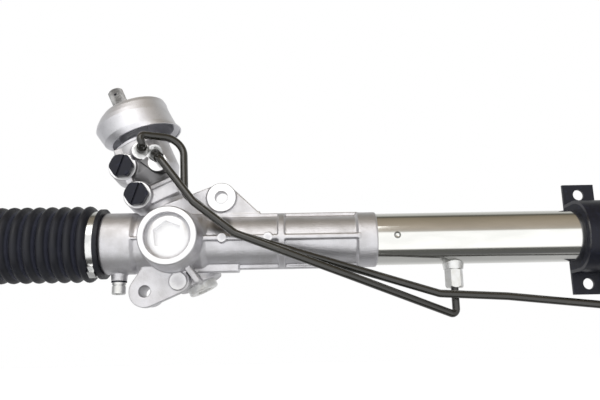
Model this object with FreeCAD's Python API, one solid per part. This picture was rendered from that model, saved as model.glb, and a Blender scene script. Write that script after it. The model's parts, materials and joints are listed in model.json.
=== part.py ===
import FreeCAD, Part
import math
import os
from FreeCAD import Placement, Rotation, Vector

# Power steering rack. X runs along the rack towards the cylinder, Y away from the viewer, Z up.
# Pieces are drawn about the point where the support yoke's axis meets the rack's axis. They are then
# moved so that the origin is the back mouth of the upper mounting bore. All sizes are in millimetres.

# Clearances
RUNNING = 0.05          # radial gap between parts that slide or turn
SEATED = 0.03           # radial gap of parts that are pressed, screwed or crimped together
SOFT = 0.2              # gap between a rubber part and its neighbour
CUT = 1.0               # how far a cutting tool runs past the face that it opens
CHAMFER = 0.8           # broken edge of a machined face
REACH = 30.0            # length of a tool that has to clear a whole boss

# Rack bar
RACK_R = 12.5
TRAVEL = 72.0
STOP_GAP = 1.5
RACK_BORE_GAP = 1.0
ROD_END_BORE = 22.0

# Rack teeth and pinion teeth
MODULE = 2.0
PINION_TEETH = 8
PRESSURE_ANGLE = 25.0
RACK_ADDENDUM = 0.7
PINION_ADDENDUM = 0.8
ROOT_CLEARANCE = 0.25
BACKLASH = 0.16
PINION_FACE = 26.0

# Pinion axis, which leans back to the left over the rack
PINION_TILT = 24.9
PINION_X = 4.5
PINION_Y = 17.0

# Gear housing along the rack
BARREL_LEFT = -82.0
CUFF_SEAT = 17.0
BARREL_R = 28.5
BARREL_RIGHT = -36.0
CAVITY_R = 22.5
BODY_R = 26.0
BODY_RIGHT = 26.0
PANEL_R = 22.5
RAIL_R = 26.0
RAIL_WIDTH = 10.0
RIB_WIDTH = 4.2
RING_RIB_X = 98.4
RING_RIB_WIDTH = 5.8
COLLAR_LEFT = 168.0
COLLAR_RIGHT = 185.3
COLLAR_R = 25.5
SPIGOT_LENGTH = 23.0
EJECTOR_R = 4.2
EJECTOR_X = (45.4, 86.4)
LEDGE_X = (18.0, 59.0)
LEDGE_HALF = 7.0
LEDGE_DROP = 2.2
SHORT_RIB_LENGTH = 12.0

# Support yoke, boss and plug
YOKE_FACE = 44.0
YOKE_BOSS_R = 26.2
YOKE_BOSS_DRAFT = 3.4
YOKE_R = 17.0
PLUG_R = 20.5
PLUG_RECESS = 2.5
PLUG_THICK = 11.0
PLUG_HEX = 24.0
YOKE_LENGTH = 19.0
SPRING_R = 10.0
SPRING_BORE_R = 5.5
SPRING_THICK = 1.2
SPRING_RISE = 1.4
SPRING_COUNT = 2

# Valve tower on the pinion axis
BOTTOM_S = -41.5
LOWER_R = 20.7
SHOULDER_S = 62.0
VALVE_S = 76.0
VALVE_R = 27.5
COVER_GAP = 8.0
BEARING_R = 15.0
BEARING_S = -34.0
BEARING_WIDTH = 9.0
BEARING_BALLS = 9
BEARING_BALL_R = 2.3
VALVE_BORE_R = 18.6
VALVE_BORE_S = 46.0
COVER_BORE_R = 20.0
COVER_BORE_DEPTH = 7.0

# Pinion, valve sleeve and input shaft
LOWER_JOURNAL_R = 6.5
UPPER_JOURNAL_R = 9.0
NEEDLE_WIDTH = 12.0
FLANGE_R = 14.0
FLANGE_S = 40.0
SLEEVE_S = 50.0
SLEEVE_LENGTH = 50.0
ROTOR_R = 10.5
SHAFT_R = 9.0
SPLINE_R = 7.5
SHAFT_RISE = 28.3
TORSION_R = 3.1
PIN_R = 1.4
PIN_FROM_TOP = 7.0
SLEEVE_RINGS = 4
VALVE_SLOTS = 6
SLOT_DEPTH = 1.2
SLOT_WIDTH = 2.8

# Bell-shaped cover, canted over the tower: height, radius and shift of its round sections
BELL_TILT = 18.8
BELL_N = 4.8
BELL_RISE = 6.6
BELL_SECTIONS = [
    (0.0, 35.1, 4.6), (5.0, 36.3, 0.4), (18.9, 37.2, -3.1), (23.4, 35.9, -2.4), (28.4, 33.8, -0.4),
    (32.1, 31.1, 1.2)]
BELL_WALL = 3.0
BELL_LIP = 1.4
NECK_R = 15.0
NECK_FLANGE_R = 26.0
SEAL_R = 12.5
SEAL_WIDTH = 6.0

# Ports on the valve tower, as distance across (n) and along (s) the pinion axis
PORT_FACE = 12.0
HOSE_PORT_R = 13.1
HOSE_BORE_R = 9.0
HOSE_BORE_DEPTH = 11.0
UPPER_PORT = (-19.3, 87.4)
LOWER_PORT = (-17.2, 56.5)
PORT_PLUG_HEX = 20.4
PORT_PLUG_HEAD = 6.5
PORT_PLUG_TURN = 4.0
PORT_SLOT_WIDTH = 2.2
PORT_SLOT_DEPTH = 1.8
RETURN_PORT = (2.9, 93.0)
RETURN_PORT_R = 8.6
RETURN_FACE = 16.0
RETURN_AIM = Vector(0.30, -0.95, 0.03).normalize()
FEED_PORT = (13.2, 86.5)
FEED_PORT_R = 8.0
FEED_FACE = 13.7
FEED_AIM = Vector(0.42, -0.75, -0.51).normalize()
SPOTFACE_R = 6.8
VALVE_PAD = (12.3, 76.6)
VALVE_PAD_R = 9.1
VALVE_PAD_FACE = 14.5
LINE_BORE_R = 5.0
LINE_BORE_DEPTH = 9.0
PANEL_N = (-9.0, 19.0)
PANEL_S = (44.0, 62.0)
PANEL_DEPTH = 24.5
STEP_S = (56.0, 60.0)
STEP_DEPTH = 26.5
BOSS_DRAFT = 1.2
BRIDGE_N = (-22.5, -15.5)
TAB_N = (-22.0, -15.5)
TAB_S = (101.5, 107.9)
TAB_DEPTH = (18.5, 24.0)

# Mounting lugs
MOUNT_BACK = 20.0
UPPER_LUG = (42.4, 41.3)
UPPER_LUG_R = 13.9
UPPER_LUG_FACE = 7.0
UPPER_LUG_BACK = 4.5
UPPER_HOLE_R = 6.0
UPPER_WEB_HALF = 4.5
UPPER_WEB_TOP = (-5.0, 28.5)
UPPER_WEB_TOP_R = 9.0
UPPER_WEB_TOE = (78.5, 19.0)
UPPER_WEB_TOE_R = 5.0
LOWER_LUG = (-25.1, -45.3)
LOWER_LUG_R = 14.4
LOWER_LUG_FACE = 12.0
LOWER_HOLE_R = 5.25
LOWER_WEB = 9.0
LOWER_WEB_ROOT = (-14.0, -20.0)
LOWER_WEB_ROOT_R = 10.0
LOWER_PLATE_X = (-20.0, 12.0)
LOWER_PLATE_Z = (-38.0, -18.0)
PAD = (4.9, -36.7)
PAD_R = 7.9
GUSSET = ((14.0, -24.5), (23.0, -36.5))
GUSSET_R = 2.6
GUSSET_FRONT = 22.0
BACK_RIB_WIDTH = 12.0
BACK_RIB_DEPTH = 24.0

# Breather plug under the barrel
VENT_X = -51.3
VENT_STUB_R = 7.1
VENT_FACE = 34.8
VENT_R = 6.3
VENT_LENGTH = 11.0
VENT_BORE_R = 4.0
WASHER_THICK = 1.0

# Bottom plug of the pinion bore
BOTTOM_PLUG_R = 13.8
BOTTOM_PLUG_HEAD = 6.5
BOTTOM_PLUG_HEX = 14.0
BOTTOM_BORE_R = 12.5

# Hydraulic cylinder
TUBE_R = 24.0
TUBE_WALL = 2.5
LEFT_PORT_X = 256.0
RIGHT_PORT_X = 415.0
PORT_MARGIN = 8.0
SEAL_WALL = 4.0
SEAL_LENGTH = 8.0
OUTER_BUSH_LENGTH = 22.0
RETAINER_WIDTH = 3.0
TUBE_RIGHT = 452.0
PISTON_WIDTH = 18.0
PISTON_RING_WIDTH = 4.0
CLIP_WIDTH = 1.6
DIMPLE_X = 202.5
WELD_BOSS_R = 9.0
WELD_BOSS_LENGTH = 5.0
PORT_NUT_HEX = 14.5
PORT_NUT_LENGTH = 17.0

# Hydraulic lines
LINE_R = 3.5
LINE_BEND = 11.0
LOOP_BEND = 3.9
ARCH_BEND = 17.0
ELBOW_BEND = 4.4
LINE_NUT_HEX = 11.0
LINE_NUT_FLAT = 4.0
LINE_NUT_SLEEVE_R = 4.7
RETURN_NUT_LENGTH = 12.0
FEED_NUT_LENGTH = 17.0
RETURN_LEAD = 5.6
FEED_LEAD = 5.0

# Corners of the lines' routes: the return line curls under the bell and then runs behind the feed line
RETURN_ROUTE = [Vector(-30.4, -33.2, 95.4), Vector(7.4, -14.5, 96.0), Vector(12.0, -29.4, 39.9),
                Vector(58.6, -30.3, 2.2), Vector(106.1, -29.8, -12.7), Vector(239.3, -13.0, -51.9),
                Vector(300.0, -12.0, -55.3), Vector(390.0, -7.0, -64.5)]
RETURN_UNDER = -66.5
FEED_ROUTE = [Vector(21.8, -38.4, 30.1), Vector(58.5, -38.2, 1.5), Vector(153.3, -37.0, -35.2)]
FEED_UNDER = -70.8

# Inner ball joints and tie rods
BALL_R = 13.0
SEAT_WALL = 2.2
SOCKET_R = 18.5
SOCKET_BACK = 19.0
SOCKET_LIP = 10.0
SEAT_MOUTH = 8.0
STUD_R = 8.0
STUD_LENGTH = 20.0
TIE_ROD_R = 6.6
THREAD_R = 7.0
THREAD_LENGTH = 68.0
NECK_ROD_R = 6.4
TIE_ROD_LENGTH = 240.0
JAM_NUT_HEX = 22.0
JAM_NUT_WIDTH = 9.0
JAM_NUT_FROM_END = 45.0
SHANK_SHOW = 0.5

# Bellows and their clamps
BELLOWS_R = 35.4
BELLOWS_VALLEY_R = 28.5
BELLOWS_PITCH = 11.7
BELLOWS_FOLDS = 18
BELLOWS_FULL_FOLDS = 15
BELLOWS_SKIN = 3.0
BELLOWS_CUFF = 10.0
FIRST_CREST = 14.2
LIP_R = 32.5
LIP_WIDTH = 3.6
SMALL_CUFF_R = 11.0
SMALL_CUFF_LENGTH = 13.0
SMALL_FOLD_R = 21.0
BAND_WIDTH = 6.2
BAND_THICK = 1.0
EAR_HEIGHT = 5.0
EAR_WIDTH = 9.0
EAR_TURN = -62.0
SMALL_CLAMP_WIDTH = 5.0

# Right-hand mount: rubber block and steel saddle
RIGHT_MOUNT_X = 387.0
RIGHT_MOUNT_WIDTH = 30.0
RUBBER_R = 30.0
SADDLE_THICK = 3.0
SADDLE_HOLE_Z = 43.0
SADDLE_FOOT_Z = 53.0
SADDLE_HOLE_R = 5.25

# Values that follow from the ones above
TILT = math.radians(PINION_TILT)
PITCH_R = MODULE * PINION_TEETH / 2
TUBE_BORE_R = TUBE_R - TUBE_WALL
RACK_BORE_R = RACK_R + RACK_BORE_GAP
RACK_LEFT = BARREL_RIGHT - TRAVEL - STOP_GAP
RACK_RIGHT = TUBE_RIGHT + TRAVEL + STOP_GAP
CHAMBER_LEFT = LEFT_PORT_X - PORT_MARGIN
CHAMBER_RIGHT = RIGHT_PORT_X + PORT_MARGIN
PISTON_X = (CHAMBER_LEFT + CHAMBER_RIGHT) / 2
LEFT_BALL_X = RACK_LEFT - SOCKET_BACK
RIGHT_BALL_X = RACK_RIGHT + SOCKET_BACK
LEFT_LIP_X = BARREL_LEFT + CUFF_SEAT
RIGHT_LIP_X = TUBE_RIGHT - CUFF_SEAT
PLUG_FRONT = YOKE_FACE - PLUG_RECESS
PLUG_BACK = PLUG_FRONT - PLUG_THICK
YOKE_GAP = SPRING_COUNT * (SPRING_RISE + SPRING_THICK / 2)
YOKE_FRONT = PLUG_BACK - YOKE_GAP
CUFF_R = BODY_R + 0.5
BALL_CIRCLE_R = (BEARING_R + LOWER_JOURNAL_R + SEATED) / 2
SLEEVE_TOP_S = SLEEVE_S + SLEEVE_LENGTH
TOWER_TOP_S = SLEEVE_TOP_S + COVER_GAP
BELL_S = TOWER_TOP_S + BELL_RISE
BELL_TOP_S = BELL_S + BELL_SECTIONS[-1][0]
SEAL_S = BELL_TOP_S - SEAL_WIDTH
SHAFT_TOP_S = BELL_TOP_S + SHAFT_RISE
RACK_SEAL_R = RACK_R + SEAL_WALL

ORIGIN = Vector(0, 0, 0)
UP = Vector(0, 0, 1)
TO_MOUNT = Placement(Vector(-UPPER_LUG[0], -UPPER_LUG_BACK, -UPPER_LUG[1]), Rotation())
ALONG_RACK = Placement(ORIGIN, Rotation(Vector(0, 1, 0), 90))
ON_PINION = Placement(Vector(PINION_X, PINION_Y, 0), Rotation(Vector(0, 1, 0), -PINION_TILT))
OUT_LEFT = Placement(Vector(LEFT_BALL_X, 0, 0), Rotation(Vector(0, 1, 0), -90))
OUT_RIGHT = Placement(Vector(RIGHT_BALL_X, 0, 0), Rotation(Vector(0, 1, 0), 90))


def placed(shape, placement):
    """A copy of a shape, moved from its own frame to where the placement puts it."""
    moved = shape.copy()
    moved.Placement = placement.multiply(moved.Placement)
    return moved


def facing(shape, x, z):
    """A shape drawn along Z, turned to point at the viewer from the plane Y = 0."""
    return placed(shape, Placement(Vector(x, 0, z), Rotation(Vector(1, 0, 0), 90)))


def hanging(shape, x):
    """A shape drawn along Z, turned to point down from the rack's axis."""
    return placed(shape, Placement(Vector(x, 0, 0), Rotation(Vector(1, 0, 0), 180)))


def aimed(shape, point, direction):
    """A shape drawn along Z, moved to a point and turned along a direction."""
    return placed(shape, Placement(point, Rotation(UP, direction)))


def disc(radius, low, high):
    return Part.makeCylinder(radius, high - low, Vector(0, 0, low))


def ring(outer, inner, low, high):
    return disc(outer, low, high).cut(disc(inner, low - CUT, high + CUT))


def turned(profile):
    """Solid of revolution about Z from (radius, height) points."""
    points = [Vector(radius, 0, height) for radius, height in profile]
    return Part.Face(Part.makePolygon(points + points[:1])).revolve(ORIGIN, UP, 360)


def box(x, y, z):
    """Box between pairs of low and high coordinates."""
    return Part.makeBox(x[1] - x[0], y[1] - y[0], z[1] - z[0], Vector(x[0], y[0], z[0]))


def hexagon(across_flats, low, high, turn=0.0):
    radius = across_flats / math.sqrt(3)
    angles = [math.radians(turn + 60 * k) for k in range(6)]
    corners = [Vector(radius * math.cos(a), radius * math.sin(a), low) for a in angles]
    return Part.Face(Part.makePolygon(corners + corners[:1])).extrude(Vector(0, 0, high - low))


def fused(shapes):
    return shapes[0].fuse(shapes[1:]).removeSplitter()


def grouped(shapes):
    return Part.makeCompound(shapes)


def tower_point(n, s):
    """X and Z of a point across and along the pinion axis."""
    x = PINION_X + n * math.cos(TILT) - s * math.sin(TILT)
    z = n * math.sin(TILT) + s * math.cos(TILT)
    return x, z


def link(start, start_r, end, end_r, low, high):
    """Plate facing the viewer around two circles, with straight tangent sides."""
    dx, dz = end[0] - start[0], end[1] - start[1]
    span = math.hypot(dx, dz)
    heading = math.atan2(dz, dx)
    lean = math.acos((start_r - end_r) / span)
    corners = []
    tangents = ((start, start_r, 1), (end, end_r, 1), (end, end_r, -1), (start, start_r, -1))
    for (x, z), radius, side in tangents:
        angle = heading + side * lean
        corners.append(Vector(x + radius * math.cos(angle), -low, z + radius * math.sin(angle)))
    web = Part.Face(Part.makePolygon(corners + corners[:1])).extrude(Vector(0, low - high, 0))
    ends = [facing(disc(start_r, low, high), *start), facing(disc(end_r, low, high), *end)]
    return fused([web] + ends)


def bent_tube(points, radius, bends):
    """Round tube along straight runs that are joined by tangent arcs, one bend radius per corner."""
    edges = []
    here = points[0]
    for before, corner, after, bend in zip(points, points[1:], points[2:], bends):
        arriving = (corner - before).normalize()
        leaving = (after - corner).normalize()
        turn = arriving.getAngle(leaving)
        trim = bend * math.tan(turn / 2)
        first, last = corner - arriving * trim, corner + leaving * trim
        inward = (leaving - arriving).normalize()
        middle = corner + inward * (bend / math.cos(turn / 2) - bend)
        edges += [Part.makeLine(here, first), Part.Arc(first, middle, last).toShape()]
        here = last
    edges.append(Part.makeLine(here, points[-1]))
    start = Part.Wire([Part.makeCircle(radius, points[0], points[1] - points[0])])
    return Part.Wire(edges).makePipeShell([start], True, False)


# Gear housing casting

def rack_casing():
    """The turned outside of the casting along the rack, with its rails, ribs and end collar."""
    seat_end = LEFT_LIP_X
    core = turned([
        (0, BARREL_LEFT), (CUFF_R - 1.5, BARREL_LEFT), (CUFF_R, BARREL_LEFT + 2), (CUFF_R, seat_end),
        (BARREL_R - 0.8, seat_end + 0.6), (BARREL_R, seat_end + 2), (BARREL_R, BARREL_RIGHT - 1),
        (BODY_R, BARREL_RIGHT + 3), (BODY_R, BODY_RIGHT), (PANEL_R, BODY_RIGHT + 5),
        (PANEL_R, COLLAR_LEFT - 2), (COLLAR_R, COLLAR_LEFT), (COLLAR_R, COLLAR_RIGHT - CHAMFER),
        (COLLAR_R - CHAMFER, COLLAR_RIGHT), (TUBE_BORE_R - SEATED, COLLAR_RIGHT),
        (TUBE_BORE_R - SEATED, COLLAR_RIGHT + SPIGOT_LENGTH), (0, COLLAR_RIGHT + SPIGOT_LENGTH)])
    length = (BODY_RIGHT - 2, COLLAR_LEFT + 1)
    rails = [box((-RAIL_R, RAIL_R), (-RAIL_WIDTH / 2, RAIL_WIDTH / 2), length),
             box((-RIB_WIDTH / 2, RIB_WIDTH / 2), (-RAIL_R, RAIL_R), length)]
    ribs = fused(rails).common(disc(RAIL_R, *length))
    half = RING_RIB_WIDTH / 2
    hoop = disc(RAIL_R, RING_RIB_X - half, RING_RIB_X + half)
    return placed(fused([core, ribs, hoop]), ALONG_RACK)


def casing_pads():
    """Round ejector pads, the ledge under the body and the short rib beside the yoke boss."""
    pads = [facing(disc(EJECTOR_R, PANEL_R - 2, RAIL_R + 0.3), x, 0) for x in EJECTOR_X]
    ledge = box(LEDGE_X, (-LEDGE_HALF, LEDGE_HALF), (-RAIL_R - LEDGE_DROP, -PANEL_R + 3))
    rib = box((BARREL_RIGHT - 2, BARREL_RIGHT + SHORT_RIB_LENGTH), (-BARREL_R, -BODY_R + 4), (-0.4, 1.6))
    return pads + [ledge, rib]


def yoke_boss():
    wide, middle = YOKE_BOSS_R + YOKE_BOSS_DRAFT, YOKE_FACE / 2
    boss = turned([
        (0, 0), (wide, 0), (wide - CHAMFER, middle), (YOKE_BOSS_R, YOKE_FACE - CHAMFER),
        (YOKE_BOSS_R - CHAMFER, YOKE_FACE), (0, YOKE_FACE)])
    return facing(boss, 0, 0)


def tower():
    """The pinion casing and the wider valve casing above it, with port bosses and ribs."""
    shell = placed(turned([
        (0, BOTTOM_S), (LOWER_R - CHAMFER, BOTTOM_S), (LOWER_R, BOTTOM_S + CHAMFER), (LOWER_R, SHOULDER_S),
        (VALVE_R, VALVE_S), (VALVE_R, TOWER_TOP_S - CHAMFER), (VALVE_R - CHAMFER, TOWER_TOP_S),
        (0, TOWER_TOP_S)]), ON_PINION)
    wide = HOSE_PORT_R + BOSS_DRAFT
    hose_boss = turned([(0, -PINION_Y), (wide, -PINION_Y), (HOSE_PORT_R, PORT_FACE), (0, PORT_FACE)])
    bosses = [facing(hose_boss, *tower_point(*place)) for place in (UPPER_PORT, LOWER_PORT)]
    line_ports = ((RETURN_PORT_R, return_face(), RETURN_AIM), (FEED_PORT_R, feed_face(), FEED_AIM))
    for radius, face, aim in line_ports:
        back = -VALVE_BORE_R
        line_boss = turned([(0, back), (radius + BOSS_DRAFT, back), (radius, 0), (0, 0)])
        bosses.append(aimed(line_boss, face, aim))
    upper_end, lower_end = tower_point(*RETURN_PORT), tower_point(*VALVE_PAD)
    bosses.append(link(upper_end, RETURN_PORT_R, lower_end, VALVE_PAD_R, 0, VALVE_PAD_FACE))
    bridge = box(BRIDGE_N, (CUT - PORT_FACE - PINION_Y, 0), (LOWER_PORT[1], UPPER_PORT[1]))
    panel = box(PANEL_N, (-PANEL_DEPTH, 0), PANEL_S)
    step = box(PANEL_N, (-STEP_DEPTH, 0), STEP_S)
    tab = box(TAB_N, (-TAB_DEPTH[1], -TAB_DEPTH[0]), TAB_S)
    return [shell] + [placed(block, ON_PINION) for block in (bridge, panel, step, tab)] + bosses


def return_face():
    """Centre of the face that the return line screws into."""
    x, z = tower_point(*RETURN_PORT)
    return Vector(x, -RETURN_FACE, z)


def feed_face():
    """Centre of the slanting face that the feed line screws into."""
    x, z = tower_point(*FEED_PORT)
    return Vector(x, -FEED_FACE, z)


def lugs():
    """The two mounting lugs with their webs, the cast pad and the gusset under the yoke boss."""
    half = UPPER_WEB_HALF
    root_x, root_low = UPPER_WEB_TOP[0] + 2 * UPPER_WEB_TOP_R, UPPER_WEB_TOE[1] - UPPER_WEB_TOE_R
    upper = [link(UPPER_LUG, UPPER_LUG_R, UPPER_WEB_TOP, UPPER_WEB_TOP_R, -half, half),
             link(UPPER_LUG, UPPER_LUG_R, UPPER_WEB_TOE, UPPER_WEB_TOE_R, -half, half),
             box((root_x, UPPER_WEB_TOE[0]), (-half, half), (root_low, 2 * root_low)),
             facing(disc(UPPER_LUG_R, -UPPER_LUG_BACK, UPPER_LUG_FACE), *UPPER_LUG)]
    plate_back = LOWER_LUG_FACE - LOWER_WEB
    lower = [link(LOWER_LUG, LOWER_LUG_R, PAD, PAD_R + 2.5, plate_back, LOWER_LUG_FACE),
             link(LOWER_LUG, LOWER_LUG_R, LOWER_WEB_ROOT, LOWER_WEB_ROOT_R, plate_back, LOWER_LUG_FACE),
             box(LOWER_PLATE_X, (-LOWER_LUG_FACE, -plate_back), LOWER_PLATE_Z),
             facing(disc(LOWER_LUG_R - 2.0, -MOUNT_BACK, LOWER_LUG_FACE - 1), *LOWER_LUG),
             facing(disc(PAD_R, 0, LOWER_LUG_FACE + 1.5), *PAD)]
    gusset = link(GUSSET[0], GUSSET_R, GUSSET[1], GUSSET_R, 0, GUSSET_FRONT)
    side = BACK_RIB_WIDTH / 2
    back_rib = box((-side, side), (0, BACK_RIB_DEPTH), (LOWER_WEB_ROOT[1] - LOWER_LUG_R, LOWER_WEB_ROOT[1]))
    return upper + lower + [gusset, back_rib]


def housing_cuts():
    """Bores, threaded holes and mounting holes of the casting."""
    along = [disc(CAVITY_R, BARREL_LEFT - CUT, BARREL_RIGHT),
             disc(RACK_BORE_R, BARREL_RIGHT - CUT, COLLAR_RIGHT + SPIGOT_LENGTH + CUT)]
    across = [disc(BOTTOM_BORE_R + SEATED, BOTTOM_S - CUT, BEARING_S + CUT),
              disc(BEARING_R + SEATED, BEARING_S, VALVE_BORE_S + CUT),
              disc(VALVE_BORE_R, VALVE_BORE_S, TOWER_TOP_S + CUT),
              disc(COVER_BORE_R, TOWER_TOP_S - COVER_BORE_DEPTH, TOWER_TOP_S + CUT)]
    yoke = [disc(YOKE_R + RUNNING, 0, YOKE_FACE + CUT), disc(PLUG_R + SEATED, PLUG_BACK, YOKE_FACE + CUT),
            disc(REACH, YOKE_FACE, YOKE_FACE + REACH)]
    cuts = [placed(tool, ALONG_RACK) for tool in along] + [placed(tool, ON_PINION) for tool in across]
    cuts += [facing(tool, 0, 0) for tool in yoke]
    hose = disc(HOSE_BORE_R, PORT_FACE - HOSE_BORE_DEPTH, PORT_FACE + REACH)
    cuts += [facing(hose, *tower_point(*UPPER_PORT)), facing(hose, *tower_point(*LOWER_PORT))]
    line = disc(LINE_BORE_R, -LINE_BORE_DEPTH, CUT).fuse(disc(SPOTFACE_R, 0, REACH))
    cuts.append(aimed(line, return_face(), RETURN_AIM))
    cuts.append(aimed(line, feed_face(), FEED_AIM))
    through = MOUNT_BACK + 2 * CUT
    cuts.append(facing(disc(UPPER_HOLE_R, -through, through), *UPPER_LUG))
    cuts.append(facing(disc(LOWER_HOLE_R, -through, through), *LOWER_LUG))
    cuts.append(hanging(disc(VENT_BORE_R, CAVITY_R + 2, VENT_FACE + CUT), VENT_X))
    return cuts


def gear_housing():
    stub = hanging(turned([(0, CAVITY_R), (VENT_STUB_R + 0.8, CAVITY_R), (VENT_STUB_R, VENT_FACE),
                           (0, VENT_FACE)]), VENT_X)
    solids = [rack_casing(), yoke_boss(), stub] + casing_pads() + tower() + lugs()
    body = solids[0].fuse(solids[1:])
    return body.cut(housing_cuts()).removeSplitter()


# Support yoke

def yoke_plug():
    body = turned([
        (0, PLUG_BACK), (PLUG_R - 1, PLUG_BACK), (PLUG_R, PLUG_BACK + 1), (PLUG_R, PLUG_FRONT - 0.7),
        (PLUG_R - 0.7, PLUG_FRONT), (PLUG_R - 4, PLUG_FRONT), (PLUG_R - 5.5, PLUG_FRONT - 1.6),
        (0, PLUG_FRONT - 1.6)])
    return facing(body.cut(hexagon(PLUG_HEX, PLUG_BACK + 4, PLUG_FRONT + CUT, 8)), 0, 0)


def support_yoke():
    back = YOKE_FRONT - YOKE_LENGTH
    body = facing(disc(YOKE_R, back, YOKE_FRONT), 0, 0)
    saddle = placed(disc(RACK_R + RUNNING, -2 * YOKE_R, 2 * YOKE_R), ALONG_RACK)
    return body.cut(saddle)


def yoke_springs():
    """Two cone-shaped disc springs, edge to edge, between the yoke and its plug."""
    cone = turned([(SPRING_BORE_R, SPRING_RISE), (SPRING_R, 0), (SPRING_R, SPRING_THICK / 2),
                   (SPRING_BORE_R, SPRING_RISE + SPRING_THICK / 2)])
    flip = Placement(Vector(0, 0, YOKE_FRONT + YOKE_GAP), Rotation(Vector(1, 0, 0), 180))
    lower = placed(cone, Placement(Vector(0, 0, YOKE_FRONT), Rotation()))
    upper = placed(cone, flip)
    return facing(grouped([lower, upper]), 0, 0)


# Pinion and rotary valve

def pinion_tooth_outline():
    """Involute outline of the pinion, one tooth pointing at the rack."""
    base_r = PITCH_R * math.cos(math.radians(PRESSURE_ANGLE))
    tip_r = PITCH_R + PINION_ADDENDUM * MODULE
    root_r = PITCH_R - (RACK_ADDENDUM + ROOT_CLEARANCE) * MODULE
    half_tooth = math.pi / (2 * PINION_TEETH) - BACKLASH / PITCH_R / 2
    pitch_roll = math.tan(math.radians(PRESSURE_ANGLE)) - math.radians(PRESSURE_ANGLE)
    steps = 4
    flank = [(root_r, half_tooth + pitch_roll)]
    for k in range(steps + 1):
        radius = base_r + (tip_r - base_r) * k / steps
        pressure = math.acos(min(1.0, base_r / radius))
        flank.append((radius, half_tooth + pitch_roll - math.tan(pressure) + pressure))
    points = []
    for tooth in range(PINION_TEETH):
        centre = -math.pi / 2 + 2 * math.pi * tooth / PINION_TEETH
        for side in (-1, 1):
            for radius, angle in (flank if side < 0 else reversed(flank)):
                turn = centre + side * angle
                points.append(Vector(radius * math.cos(turn), radius * math.sin(turn), -PINION_FACE / 2))
    return points


def pinion():
    outline = pinion_tooth_outline()
    gear = Part.Face(Part.makePolygon(outline + outline[:1])).extrude(Vector(0, 0, PINION_FACE))
    root_r = PITCH_R - (RACK_ADDENDUM + ROOT_CLEARANCE) * MODULE
    half = PINION_FACE / 2
    shaft = turned([
        (0, BEARING_S + 0.5), (LOWER_JOURNAL_R - 0.8, BEARING_S + 0.5), (LOWER_JOURNAL_R, BEARING_S + 1.5),
        (LOWER_JOURNAL_R, -half - 4), (root_r, -half), (root_r, half), (UPPER_JOURNAL_R, half + 4),
        (UPPER_JOURNAL_R, FLANGE_S), (FLANGE_R, FLANGE_S), (FLANGE_R, SLEEVE_S), (0, SLEEVE_S)])
    bore = disc(TORSION_R + SEATED, FLANGE_S - 18, SLEEVE_S + CUT)
    return placed(shaft.fuse(gear).cut(bore).removeSplitter(), ON_PINION)


def race_profile(inner, outer, groove_r, ball_r):
    """Bearing race ring with a round ball groove."""
    middle = BEARING_S + BEARING_WIDTH / 2
    body = ring(outer, inner, BEARING_S, BEARING_S + BEARING_WIDTH)
    return body.cut(Part.makeTorus(groove_r, ball_r, Vector(0, 0, middle), UP))


def bearing_outer_race():
    race = race_profile(BALL_CIRCLE_R + 1.2, BEARING_R, BALL_CIRCLE_R, BEARING_BALL_R + SEATED)
    return placed(race, ON_PINION)


def bearing_inner_race():
    inner = LOWER_JOURNAL_R + SEATED
    race = race_profile(inner, BALL_CIRCLE_R - 1.2, BALL_CIRCLE_R, BEARING_BALL_R + RUNNING)
    return placed(race, ON_PINION)


def bearing_balls():
    middle = BEARING_S + BEARING_WIDTH / 2
    balls = []
    for k in range(BEARING_BALLS):
        turn = 2 * math.pi * k / BEARING_BALLS
        balls.append(Part.makeSphere(BEARING_BALL_R, Vector(BALL_CIRCLE_R * math.cos(turn),
                                                            BALL_CIRCLE_R * math.sin(turn), middle)))
    return placed(grouped(balls), ON_PINION)


def needle_bush():
    top = FLANGE_S - 1.5
    return placed(ring(BEARING_R, UPPER_JOURNAL_R + RUNNING, top - NEEDLE_WIDTH, top), ON_PINION)


def valve_sleeve():
    outer = VALVE_BORE_R - 0.6
    sleeve = ring(outer, ROTOR_R + RUNNING, SLEEVE_S, SLEEVE_TOP_S)
    grooves = [ring(outer + CUT, outer - 1.6, s, s + 2.4) for s in sleeve_ring_places()]
    return placed(sleeve.cut(grooves), ON_PINION)


def sleeve_ring_places():
    step = SLEEVE_LENGTH / SLEEVE_RINGS
    return [SLEEVE_S + step * (k + 0.5) - 1.2 for k in range(SLEEVE_RINGS)]


def sleeve_seal_rings():
    low_r = VALVE_BORE_R - 0.6 - 1.6 + SEATED
    rings = [ring(VALVE_BORE_R - RUNNING, low_r, s + 0.1, s + 2.3) for s in sleeve_ring_places()]
    return placed(grouped(rings), ON_PINION)


def input_shaft():
    """Valve rotor below, splined column connection above."""
    body = turned([
        (0, SLEEVE_S + 2), (ROTOR_R, SLEEVE_S + 2), (ROTOR_R, SLEEVE_TOP_S + 4),
        (SHAFT_R, SLEEVE_TOP_S + 5.5), (SHAFT_R, BELL_TOP_S + 2), (SPLINE_R, BELL_TOP_S + 3.5),
        (SPLINE_R, SHAFT_TOP_S - 1.2), (SPLINE_R - 1.2, SHAFT_TOP_S), (0, SHAFT_TOP_S)])
    bore = disc(TORSION_R + 0.4, SLEEVE_S, SHAFT_TOP_S - 3)
    cross = pin_across(PIN_R + SEATED, 2 * SPLINE_R)
    slot = box((ROTOR_R - SLOT_DEPTH, ROTOR_R + CUT), (-SLOT_WIDTH / 2, SLOT_WIDTH / 2),
               (SLEEVE_S + 12, SLEEVE_TOP_S - 10))
    turns = [360 * k / VALVE_SLOTS for k in range(VALVE_SLOTS)]
    slots = [placed(slot, Placement(ORIGIN, Rotation(UP, turn))) for turn in turns]
    return placed(body.cut([bore, cross] + slots), ON_PINION)


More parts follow.
